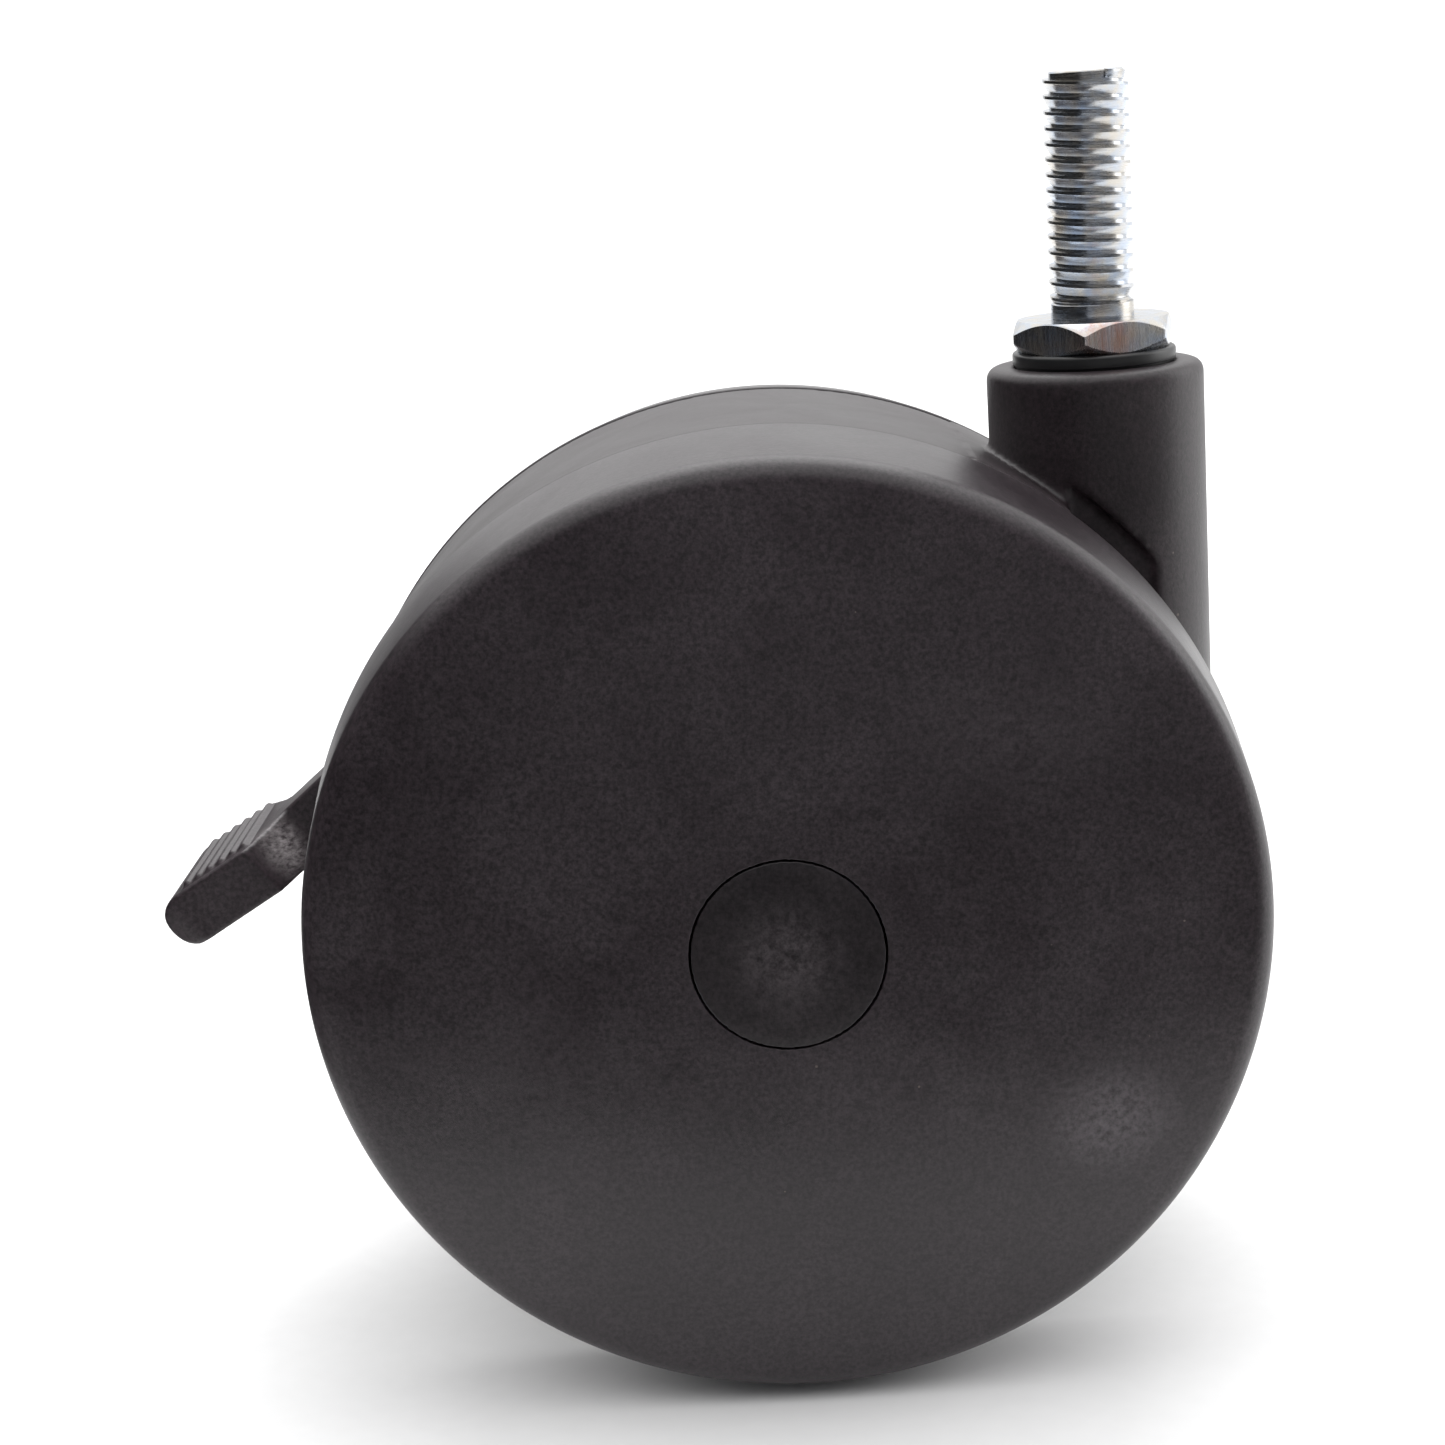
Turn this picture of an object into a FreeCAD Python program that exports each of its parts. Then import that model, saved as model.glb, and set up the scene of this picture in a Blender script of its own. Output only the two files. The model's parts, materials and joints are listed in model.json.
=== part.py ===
import FreeCAD, Part

import math
import os

import Sketcher

# Twin-wheel swivel caster with a threaded stem and a wheel brake.
# Row frame: origin on the stem axis at the seating face of the hexagon, +Z up the thread,
# the axle along Y, the wheels trailing towards -X. Millimetres and degrees.

DOC = FreeCAD.newDocument("twin_wheel_caster")

DIMENSIONS = {
    # Stem: 3/8"-16 thread at its crest radius, hexagon with a seating face, plain kingpin below.
    "thread_radius": 4.72,
    "thread_length": 25.4,
    "thread_lead_in": 0.9,
    "hex_across_flats": 15.9,
    "hex_height": 3.3,
    "hex_face_angle": 17.35,
    "hex_chamfer_slope": 30.0,
    "hex_chamfer_start": 0.25,
    "hex_clear": 2.0,
    "kingpin_radius": 5.5,
    "kingpin_end": -45.4,
    "kingpin_chamfer": 0.8,
    "ring_groove_radius": 4.9,
    "running_clearance": 0.05,
    "cut_overrun": 1.0,
    # Washers and ring on the kingpin.
    "stem_washer_radius": 8.6,
    "stem_washer_bottom": -4.65,
    "bush_flange_top": -4.7,
    "bush_flange_radius": 8.2,
    "bush_flange_thickness": 1.2,
    "stem_bush_radius": 7.5,
    "upper_bush_length": 10.0,
    "lower_bush_top": -31.5,
    "lower_bush_bottom": -40.7,
    "lower_washer_radius": 7.9,
    "lower_washer_thickness": 1.0,
    "axial_gap": 0.1,
    "stem_ring_radius": 7.3,
    "stem_ring_thickness": 1.1,
    "stem_ring_gap": 4.0,
    # Where the axle lies from the stem.
    "swivel_offset": 36.3,
    "axle_drop": 57.0,
    # Housing.
    "barrel_radius": 11.44,
    "barrel_top": -4.8,
    "barrel_bottom": -49.0,
    "barrel_top_round": 1.3,
    "barrel_bottom_round": 3.0,
    "barrel_clear_bore": 6.3,
    "lower_pocket_radius": 8.7,
    "flange_recess_clearance": 0.15,
    "hood_radius": 50.0,
    "hood_wall": 3.0,
    "hood_half_width": 15.75,
    "hood_front_angle": 49.0,
    "hood_rear_angle": 153.0,
    "hood_edge": 0.35,
    "plate_half_width": 7.5,
    "plate_front_x": 34.0,
    "plate_front_z": 10.0,
    "plate_foot_x": 8.0,
    "plate_foot_z": -4.5,
    "plate_heel_x": -38.0,
    "plate_heel_z": 9.0,
    "plate_rear_x": -42.5,
    "plate_rear_z": 14.5,
    "pocket_front_angle": 62.0,
    "pocket_rear_angle": 101.5,
    "pocket_wall": 2.0,
    "pocket_front_x": 21.0,
    "pocket_front_z": 13.0,
    "pocket_floor_x": 9.0,
    "pocket_floor_z": 11.0,
    "boss_radius": 9.5,
    "boss_half_length": 15.0,
    "relief_radius": 52.0,
    "relief_half_width": 10.0,
    "relief_inner_offset": -4.6,
    "relief_outer_offset": 4.55,
    "pedal_slot_half_width": 3.9,
    "pedal_slot_reach": 12.0,
    "pedal_slot_floor": -15.0,
    "pedal_slot_end": -55.0,
    "pedal_slot_brow": 24.0,
    "web_half_width": 2.4,
    # Axle and its hardware.
    "axle_radius": 4.0,
    "axle_half_length": 32.2,
    "axle_chamfer": 0.6,
    "thrust_washer_radius": 9.0,
    "inner_washer_start": 15.05,
    "inner_washer_end": 15.95,
    "outer_washer_radius": 8.5,
    "outer_washer_start": 29.05,
    "outer_washer_end": 29.85,
    "push_nut_radius": 7.4,
    "push_nut_end": 31.0,
    "push_nut_sheet": 0.5,
    "push_nut_collar": 5.2,
    # Wheel, measured from the caster's middle plane outwards.
    "wheel_radius": 50.0,
    "wheel_front_radius": 48.5,
    "wheel_inner_plane": 16.1,
    "wheel_edge_plane": 31.7,
    "wheel_face_plane": 35.39,
    "wheel_edge_round": 4.8,
    "wheel_inner_chamfer": 0.35,
    "rim_inner_radius": 44.6,
    "disc_rim_plane": 28.0,
    "disc_hub_plane": 30.4,
    "hub_radius": 11.5,
    "hub_start": 16.0,
    "wheel_bush_radius": 5.5,
    "cap_pocket_radius": 9.86,
    "cap_pocket_floor": 29.0,
    "ring_rib_start": 19.0,
    "ring_rib_end": 30.6,
    "inner_ring_radius": 20.5,
    "outer_ring_radius": 30.5,
    "ring_rib_wall": 1.7,
    "spoke_count": 12,
    "spoke_half_width": 0.9,
    "spoke_start": 23.5,
    "spoke_end": 30.8,
    "tooth_count": 36,
    "tooth_tip_radius": 41.0,
    "tooth_half_width": 1.25,
    "tooth_start": 17.2,
    "tooth_end": 29.7,
    "rib_overlap": 0.9,
    # Hub cap.
    "cap_radius": 9.62,
    "cap_disc_back": 33.0,
    "cap_skirt_inner": 8.0,
    "cap_skirt_start": 31.2,
    "cap_skirt_lead_in": 0.5,
    # Brake: pivot, pedal and locking bar, as seen along the axle.
    "pivot_x": -35.37,
    "pivot_z": 20.58,
    "pivot_pin_radius": 2.0,
    "pivot_pin_chamfer": 0.3,
    "neck_pitch": 39.7,
    "pad_pitch": 30.5,
    "neck_half_width": 3.5,
    "neck_top": 3.2,
    "neck_bottom": -2.7,
    "eye_radius": 4.2,
    "tongue_reach": 10.5,
    "tongue_half_height": 3.7,
    "tongue_slot_play": 0.5,
    "pad_knee": 23.6,
    "pad_start": 25.8,
    "pad_length": 15.4,
    "pad_thickness": 6.0,
    "pad_half_width": 10.0,
    "pad_flare_start": 21.4,
    "pad_tip_round": 2.9,
    "pad_corner_round": 3.2,
    "pad_heel": 0.6,
    "ridge_count": 6,
    "ridge_pitch": 1.5,
    "ridge_height": 0.55,
    "ridge_rise": 0.45,
    "ridge_crest": 0.9,
    "ridge_root": 0.4,
    "ridge_border": 1.3,
    "ridge_first": 0.5,
    "ridge_bed": 0.45,
    "ridge_bed_gap": 0.3,
    "bar_radius": 2.0,
    "bar_half_length": 21.5,
    "bar_angle": 135.0,
    "bar_rest_radius": 38.6,
    "bar_travel": 3.4,
    "bar_end_play": 0.15,
    "bar_chamfer": 0.5,
    # Detent spring: a strip under the pedal's eye, with one end hooked into a block.
    "spring_thickness": 0.5,
    "spring_top": -4.26,
    "spring_half_width": 3.4,
    "spring_inner_end": -11.0,
    "spring_outer_end": 2.6,
    "spring_hook": 3.0,
    "block_start": -14.0,
    "block_end": -8.0,
    "block_bottom": -9.5,
    "block_root": 0.4,
    "hook_slot_play": 0.3,
}


def write_sheet(name, values):
    """Put each driving dimension in its own cell, with its name as the cell's alias."""
    sheet = DOC.addObject("Spreadsheet::Sheet", name)
    for row, (alias, number) in enumerate(values.items(), start=1):
        sheet.set(f"A{row}", alias)
        sheet.set(f"B{row}", str(number))
        sheet.setAlias(f"B{row}", alias)
    DOC.recompute()
    return sheet


SHEET = write_sheet("dims", DIMENSIONS)


def number(expression):
    """The present value of an expression on the sheet."""
    return float(SHEET.evalExpression(expression))


def bind(target, path, expression):
    """Drive one property or constraint by an expression on the sheet."""
    target.setExpression(path, expression)


# ---------------------------------------------------------------- sketches


def new_body(label):
    body = DOC.addObject("PartDesign::Body", label)
    body.Label = label
    return body


def new_sketch(body, name, role="XZ_Plane", height=None):
    """A sketch on one of the body's own origin planes, lifted along the plane's normal."""
    plane = next(item for item in body.Origin.OriginFeatures if item.Role == role)
    sketch = body.newObject("Sketcher::SketchObject", f"{body.Name}_{name}")
    sketch.AttachmentSupport = [(plane, "")]
    sketch.MapMode = "FlatFace"
    if height is not None:
        bind(sketch, "AttachmentOffset.Base.z", height)
    return sketch


def fix_point(sketch, geometry, position, corner):
    """Hold a point of the geometry at a place given by two expressions."""
    for kind, expression in zip(("DistanceX", "DistanceY"), corner[:2]):
        rule = Sketcher.Constraint(kind, -1, 1, geometry, position, number(expression))
        index = sketch.addConstraint(rule)
        bind(sketch, f"Constraints[{index}]", expression)


def arc_between(start, end, radius):
    """The shorter arc from start to end; a positive radius turns left, a negative one right."""
    chord = end - start
    half = chord.Length / 2
    rise = math.sqrt(max(radius * radius - half * half, 0.0))
    left = FreeCAD.Vector(-chord.y, chord.x, 0).normalize()
    centre = (start + end) / 2 + left * math.copysign(rise, radius)
    first, last = (start, end) if radius > 0 else (end, start)
    angles = [math.atan2(point.y - centre.y, point.x - centre.x) for point in (first, last)]
    circle = Part.Circle(centre, FreeCAD.Vector(0, 0, 1), abs(radius))
    return Part.ArcOfCircle(circle, angles[0], angles[1])


def outline(sketch, corners):
    """Closed outline. A corner is (u, v), or (u, v, radius) where an arc arrives at it."""
    points = [FreeCAD.Vector(number(corner[0]), number(corner[1]), 0) for corner in corners]
    ends = []
    for index, corner in enumerate(corners):
        start = points[index - 1]
        end = points[index]
        if len(corner) == 3:
            radius = number(corner[2])
            edge = sketch.addGeometry(arc_between(start, end, radius))
            rule = sketch.addConstraint(Sketcher.Constraint("Radius", edge, abs(radius)))
            bind(sketch, f"Constraints[{rule}]", f"abs({corner[2]})")
            ends.append((edge, 1, 2) if radius > 0 else (edge, 2, 1))
        else:
            edge = sketch.addGeometry(Part.LineSegment(start, end))
            ends.append((edge, 1, 2))
    for index, corner in enumerate(corners):
        edge, _, last = ends[index]
        following, first, _ = ends[(index + 1) % len(corners)]
        sketch.addConstraint(Sketcher.Constraint("Coincident", edge, last, following, first))
        fix_point(sketch, edge, last, corner)


def circle(sketch, corner, radius):
    """A full circle, its centre and radius given by expressions."""
    centre = FreeCAD.Vector(number(corner[0]), number(corner[1]), 0)
    shape = Part.Circle(centre, FreeCAD.Vector(0, 0, 1), number(radius))
    edge = sketch.addGeometry(shape)
    rule = sketch.addConstraint(Sketcher.Constraint("Radius", edge, number(radius)))
    bind(sketch, f"Constraints[{rule}]", radius)
    fix_point(sketch, edge, 3, corner)


# ---------------------------------------------------------------- features


def feature(body, kind, sketch, name):
    made = body.newObject(f"PartDesign::{kind}", f"{body.Name}_{name}")
    made.Profile = sketch
    return made


def revolve(body, name, corners, cut=False):
    """Turn an outline on the XZ plane about the body's Z axis, adding or cutting."""
    sketch = new_sketch(body, f"{name}_profile")
    outline(sketch, corners)
    made = feature(body, "Groove" if cut else "Revolution", sketch, name)
    made.ReferenceAxis = (sketch, ["V_Axis"])
    made.Angle = 360
    return made


def extrude(body, name, sketch, length, cut=False, symmetric=True, reverse=False):
    """Pad or pocket a sketch by a length given as an expression."""
    made = feature(body, "Pocket" if cut else "Pad", sketch, name)
    made.Type = "Length"
    made.SideType = "Symmetric" if symmetric else "One side"
    made.Reversed = reverse
    bind(made, "Length", length)
    return made


def slab(body, name, corners, half_width, cut=False):
    """Pad or pocket an outline of the XZ plane by the same amount to each side."""
    sketch = new_sketch(body, f"{name}_outline")
    outline(sketch, corners)
    return extrude(body, name, sketch, f"2 * ({half_width})", cut)


def disc(body, name, corner, radius, half_width, cut=False):
    """Pad or pocket a circle of the XZ plane by the same amount to each side."""
    sketch = new_sketch(body, f"{name}_circle")
    circle(sketch, corner, radius)
    return extrude(body, name, sketch, f"2 * ({half_width})", cut)


def polar_pattern(body, name, original, count):
    axis = next(item for item in body.Origin.OriginFeatures if item.Role == "Z_Axis")
    made = body.newObject("PartDesign::PolarPattern", f"{body.Name}_{name}")
    made.Originals = [original]
    made.Axis = (axis, [""])
    made.Angle = 360
    bind(made, "Occurrences", count)
    body.Tip = made
    return made


def dress_edges(body, kind, name, size, wanted):
    """Fillet or chamfer the edges of the body's present solid that the test accepts."""
    DOC.recompute()
    base = body.Tip
    edges = base.Shape.Edges
    names = [f"Edge{index}" for index, edge in enumerate(edges, start=1) if wanted(edge)]
    made = body.newObject(f"PartDesign::{kind}", f"{body.Name}_{name}")
    made.Base = (base, names)
    bind(made, "Radius" if kind == "Fillet" else "Size", size)
    return made


def tube(label, inner, outer, start, end):
    """A plain ring about the Z axis of its own body."""
    body = new_body(label)
    corners = [(inner, start), (outer, start), (outer, end), (inner, end)]
    revolve(body, "ring", corners)
    return body


# ---------------------------------------------------------------- places

FRONT = FreeCAD.Rotation(FreeCAD.Vector(1, 0, 0), 90)
REAR = FreeCAD.Rotation(FreeCAD.Vector(1, 0, 0), -90)


def place_on_axle(body, rotation):
    """Lay a body that was turned about Z along the axle, its +Z pointing outwards."""
    body.Placement = FreeCAD.Placement(FreeCAD.Vector(0, 0, 0), rotation)
    bind(body, "Placement.Base.x", "-dims.swivel_offset")
    bind(body, "Placement.Base.z", "-dims.axle_drop")


def from_axle(x, z):
    """A point of the row's XZ plane, given from the axle."""
    return (f"{x} - dims.swivel_offset", f"{z} - dims.axle_drop")


def polar(radius, angle):
    """A point of the row's XZ plane, at a radius and an angle about the axle."""
    return from_axle(f"({radius}) * cos({angle})", f"({radius}) * sin({angle})")


def on_pedal(along, above):
    """A point of the row's XZ plane, in the pedal's own directions from its pivot.

    along runs out from the pivot towards the foot pad, above is square to it.
    """
    x = f"dims.pivot_x - ({along}) * cos(dims.neck_pitch) - ({above}) * sin(dims.neck_pitch)"
    z = f"dims.pivot_z - ({along}) * sin(dims.neck_pitch) + ({above}) * cos(dims.neck_pitch)"
    return from_axle(x, z)


# ---------------------------------------------------------------- stem


def make_threaded_stem():
    """One turned piece: threaded shank, hexagon and the kingpin that the housing swivels on.

    The shank is plain, at the thread's crest radius.
    """
    body = new_body("threaded_stem")
    ring_top = "dims.lower_bush_bottom - dims.axial_gap - dims.lower_washer_thickness"
    ring_bottom = f"{ring_top} - dims.stem_ring_thickness - dims.axial_gap"
    tip_radius = "dims.thread_radius - dims.thread_lead_in"
    revolve(body, "shank", [
        ("0", "dims.kingpin_end"),
        ("dims.kingpin_radius - dims.kingpin_chamfer", "dims.kingpin_end"),
        ("dims.kingpin_radius", "dims.kingpin_end + dims.kingpin_chamfer"),
        ("dims.kingpin_radius", ring_bottom),
        ("dims.ring_groove_radius", ring_bottom),
        ("dims.ring_groove_radius", ring_top),
        ("dims.kingpin_radius", ring_top),
        ("dims.kingpin_radius", "-dims.hex_height / 2"),
        ("dims.thread_radius", "-dims.hex_height / 2"),
        ("dims.thread_radius", "dims.thread_length - dims.thread_lead_in"),
        (tip_radius, "dims.thread_length"),
        ("0", "dims.thread_length"),
    ])
    hexagon = new_sketch(body, "hexagon", "XY_Plane")
    corner = "dims.hex_across_flats / sqrt(3)"
    turns = [f"dims.hex_face_angle - 60 + {60 * side}" for side in range(6)]
    outline(hexagon, [(f"{corner} * cos({turn})", f"{corner} * sin({turn})") for turn in turns])
    extrude(body, "hex", hexagon, "dims.hex_height", symmetric=False, reverse=True)
    start = "dims.hex_across_flats / 2 + dims.hex_chamfer_start"
    drop = "dims.hex_clear * tan(dims.hex_chamfer_slope)"
    for name, level, sense in (("top", "0", "-"), ("bottom", "-dims.hex_height", "+")):
        revolve(body, f"hex_{name}_chamfer", [
            (start, level),
            (f"{start} + dims.hex_clear", f"{level} {sense} {drop}"),
            (f"{start} + dims.hex_clear", level),
        ], cut=True)


def make_stem_hardware():
    """Washers and the open retaining ring that hold the kingpin in the barrel."""
    bore = "dims.kingpin_radius"
    washer_top = "dims.lower_bush_bottom - dims.axial_gap"
    washer_bottom = f"{washer_top} - dims.lower_washer_thickness"
    ring_bottom = f"{washer_bottom} - dims.stem_ring_thickness"
    washer = "dims.stem_washer_radius"
    tube("stem_thrust_washer", bore, washer, "dims.stem_washer_bottom", "-dims.hex_height")
    tube("stem_lower_washer", bore, "dims.lower_washer_radius", washer_bottom, washer_top)
    groove = "dims.ring_groove_radius"
    ring = tube("stem_retaining_ring", groove, "dims.stem_ring_radius", ring_bottom, washer_bottom)
    gap = new_sketch(ring, "gap_outline", "XY_Plane")
    reach = "dims.stem_ring_radius + dims.cut_overrun"
    outline(gap, [
        ("-dims.stem_ring_gap / 2", "0"),
        ("dims.stem_ring_gap / 2", "0"),
        ("dims.stem_ring_gap / 2", reach),
        ("-dims.stem_ring_gap / 2", reach),
    ])
    extrude(ring, "gap", gap, "2 * dims.axle_drop", cut=True)


def make_stem_bushes():
    """Flanged plain bushes, pressed into each end of the barrel."""
    bore = "dims.kingpin_radius + dims.running_clearance"
    upper = new_body("upper_stem_bush")
    shoulder = "dims.bush_flange_top - dims.bush_flange_thickness"
    revolve(upper, "bush", [
        (bore, f"{shoulder} - dims.upper_bush_length"),
        ("dims.stem_bush_radius", f"{shoulder} - dims.upper_bush_length"),
        ("dims.stem_bush_radius", shoulder),
        ("dims.bush_flange_radius", shoulder),
        ("dims.bush_flange_radius", "dims.bush_flange_top"),
        (bore, "dims.bush_flange_top"),
    ])
    lower = new_body("lower_stem_bush")
    shoulder = "dims.lower_bush_bottom + dims.bush_flange_thickness"
    revolve(lower, "bush", [
        (bore, "dims.lower_bush_bottom"),
        ("dims.bush_flange_radius", "dims.lower_bush_bottom"),
        ("dims.bush_flange_radius", shoulder),
        ("dims.stem_bush_radius", shoulder),
        ("dims.stem_bush_radius", "dims.lower_bush_top"),
        (bore, "dims.lower_bush_top"),
    ])


# ---------------------------------------------------------------- housing


def make_housing():
    """One moulding: swivel barrel, hood between the wheels, cheeks and axle boss."""
    body = new_body("housing")
    radius = "dims.barrel_radius"
    revolve(body, "barrel", [
        ("0", "dims.barrel_bottom"),
        (f"{radius} - dims.barrel_bottom_round", "dims.barrel_bottom"),
        (radius, "dims.barrel_bottom + dims.barrel_bottom_round", "dims.barrel_bottom_round"),
        (radius, "dims.barrel_top - dims.barrel_top_round"),
        (f"{radius} - dims.barrel_top_round", "dims.barrel_top", "dims.barrel_top_round"),
        ("0", "dims.barrel_top"),
    ])
    hood_inner = "(dims.hood_radius - dims.hood_wall)"
    front = "dims.hood_front_angle"
    rear = "dims.hood_rear_angle"
    slab(body, "hood", [
        (*polar(hood_inner, front), f"-{hood_inner}"),
        polar("dims.hood_radius", front),
        (*polar("dims.hood_radius", rear), "dims.hood_radius"),
        polar(hood_inner, rear),
    ], "dims.hood_half_width")
    dress_edges(body, "Chamfer", "hood_edges", "dims.hood_edge", is_hood_edge)
    middle = "(dims.hood_radius - dims.hood_wall / 2)"
    slab(body, "plate", [
        (*polar(middle, front), f"-{middle}"),
        from_axle("dims.plate_front_x", "dims.plate_front_z"),
        from_axle("dims.plate_foot_x", "dims.plate_foot_z"),
        from_axle("-dims.plate_foot_x", "dims.plate_foot_z"),
        from_axle("dims.plate_heel_x", "dims.plate_heel_z"),
        from_axle("dims.plate_rear_x", "dims.plate_rear_z"),
        polar(middle, rear),
    ], "dims.plate_half_width")
    disc(body, "boss", from_axle("0", "0"), "dims.boss_radius", "dims.boss_half_length")
    slot_top = f"sqrt({hood_inner} * {hood_inner} - dims.pedal_slot_reach * dims.pedal_slot_reach)"
    slab(body, "pedal_slot", [
        polar(hood_inner, rear),
        (*from_axle("-dims.pedal_slot_reach", slot_top), f"-{hood_inner}"),
        from_axle("-dims.pedal_slot_reach", "dims.pedal_slot_floor"),
        from_axle("dims.pedal_slot_end", "dims.pedal_slot_floor"),
        from_axle("dims.pedal_slot_end", "dims.pedal_slot_brow"),
    ], "dims.pedal_slot_half_width", cut=True)
    cut_side_pockets(body)
    cut_barrel_relief(body)
    add_spring_block(body)
    through = "2 * dims.boss_half_length"
    disc(body, "axle_bore", from_axle("0", "0"), "dims.axle_radius", through, cut=True)
    disc(body, "pivot_bore", on_pedal("0", "0"), "dims.pivot_pin_radius", through, cut=True)
    cut_bar_slot(body)
    cut_stem_socket(body)
    return body


def is_hood_edge(edge):
    """The two long outer arcs of the hood."""
    centre = FreeCAD.Vector(-number("dims.swivel_offset"), 0, -number("dims.axle_drop"))
    middle = edge.valueAt((edge.FirstParameter + edge.LastParameter) / 2) - centre
    reach = math.hypot(middle.x, middle.z)
    at_side = abs(abs(middle.y) - number("dims.hood_half_width")) < 0.01
    return at_side and abs(reach - number("dims.hood_radius")) < 0.01 and edge.Length > 5


def add_spring_block(body):
    """Block below the pedal's eye, slotted for the hooked end of the hold spring."""
    seat = "dims.spring_top - dims.spring_thickness"
    slab(body, "spring_block", [
        on_pedal("dims.block_start", "dims.block_bottom"),
        on_pedal("dims.block_end", "dims.block_bottom"),
        on_pedal("dims.block_end", seat),
        on_pedal("dims.block_start", seat),
    ], "dims.pedal_slot_half_width + dims.block_root")
    near = "dims.spring_inner_end - dims.hook_slot_play"
    far = "dims.spring_inner_end + dims.spring_thickness + dims.hook_slot_play"
    hook_end = "dims.spring_top - dims.spring_hook - dims.hook_slot_play"
    slab(body, "hook_slot", [
        on_pedal(near, hook_end),
        on_pedal(far, hook_end),
        on_pedal(far, "0"),
        on_pedal(near, "0"),
    ], "dims.pedal_slot_half_width", cut=True)


def cut_side_pockets(body):
    """Hollow the thick middle plate from both sides, down to a thin web."""
    depth = "dims.plate_half_width + dims.cut_overrun - dims.web_half_width"
    top = "(dims.hood_radius - dims.hood_wall - dims.pocket_wall)"
    for name, sign, reverse in (("front", "", True), ("rear", "-", False)):
        sketch = new_sketch(body, f"{name}_pocket_outline", height=f"{sign}dims.web_half_width")
        outline(sketch, [
            (*polar(top, "dims.pocket_front_angle"), f"-{top}"),
            from_axle("dims.pocket_front_x", "dims.pocket_front_z"),
            from_axle("dims.pocket_floor_x", "dims.pocket_floor_z"),
            from_axle("-dims.pocket_floor_x", "dims.pocket_floor_z"),
            polar(top, "dims.pocket_rear_angle"),
        ])
        name = f"{name}_pocket"
        extrude(body, name, sketch, depth, cut=True, symmetric=False, reverse=reverse)


def cut_barrel_relief(body):
    """Flat relief on each side of the barrel, concentric with the wheels, for their rims."""
    radius = "dims.relief_radius"
    bottom = "dims.barrel_bottom - dims.cut_overrun"
    inner = "dims.relief_inner_offset"
    outer = "dims.relief_outer_offset"
    inner_top = f"sqrt({radius} ^ 2 - (dims.swivel_offset + {inner}) ^ 2) - dims.axle_drop"
    outer_top = f"sqrt({radius} ^ 2 - (dims.swivel_offset + {outer}) ^ 2) - dims.axle_drop"
    depth = "dims.barrel_radius"
    for name, sign, reverse in (("front", "", True), ("rear", "-", False)):
        sketch = new_sketch(body, f"{name}_relief_outline", height=f"{sign}dims.relief_half_width")
        outline(sketch, [(inner, bottom), (outer, bottom), (outer, outer_top), (inner, inner_top, radius)])
        name = f"{name}_relief"
        extrude(body, name, sketch, depth, cut=True, symmetric=False, reverse=reverse)


def cut_bar_slot(body):
    """The straight slot through both cheeks that guides the locking bar, radial to the axle."""
    half = "(dims.bar_radius + dims.running_clearance)"
    near = "(dims.bar_rest_radius - dims.bar_end_play)"
    far = "(dims.bar_rest_radius + dims.bar_travel + dims.bar_end_play)"
    across = f"{half} * sin(dims.bar_angle)"
    along = f"{half} * cos(dims.bar_angle)"

    def corner(radius, side):
        x = f"{radius} * cos(dims.bar_angle) {side} {across}"
        z = f"{radius} * sin(dims.bar_angle) {'-' if side == '+' else '+'} {along}"
        return from_axle(x, z)

    slab(body, "bar_slot", [
        (*corner(near, "+"), half),
        corner(far, "+"),
        (*polar(f"{far} + {half}", "dims.bar_angle"), half),
        (*corner(far, "-"), half),
        corner(near, "-"),
        (*polar(f"{near} - {half}", "dims.bar_angle"), half),
    ], "2 * dims.plate_half_width", cut=True)


def cut_stem_socket(body):
    """Stepped bore for the kingpin, its two bushes, the washer and the ring."""
    bottom = "dims.barrel_bottom - dims.cut_overrun"
    top = "dims.barrel_top + dims.cut_overrun"
    recess = "dims.bush_flange_radius + dims.flange_recess_clearance"
    lower_shoulder = "dims.lower_bush_bottom + dims.bush_flange_thickness"
    upper_shoulder = "dims.bush_flange_top - dims.bush_flange_thickness"
    upper_bush_end = f"{upper_shoulder} - dims.upper_bush_length"
    revolve(body, "socket", [
        ("0", bottom),
        ("dims.lower_pocket_radius", bottom),
        ("dims.lower_pocket_radius", lower_shoulder),
        ("dims.stem_bush_radius", lower_shoulder),
        ("dims.stem_bush_radius", "dims.lower_bush_top"),
        ("dims.barrel_clear_bore", "dims.lower_bush_top"),
        ("dims.barrel_clear_bore", upper_bush_end),
        ("dims.stem_bush_radius", upper_bush_end),
        ("dims.stem_bush_radius", upper_shoulder),
        (recess, upper_shoulder),
        (recess, top),
        ("0", top),
    ], cut=True)


# ---------------------------------------------------------------- axle


def make_axle():
    body = new_body("axle")
    end = "dims.axle_half_length"
    revolve(body, "rod", [
        ("0", f"-{end}"),
        ("dims.axle_radius - dims.axle_chamfer", f"-{end}"),
        ("dims.axle_radius", f"-{end} + dims.axle_chamfer"),
        ("dims.axle_radius", f"{end} - dims.axle_chamfer"),
        ("dims.axle_radius - dims.axle_chamfer", end),
        ("0", end),
    ])
    place_on_axle(body, FRONT)


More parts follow.
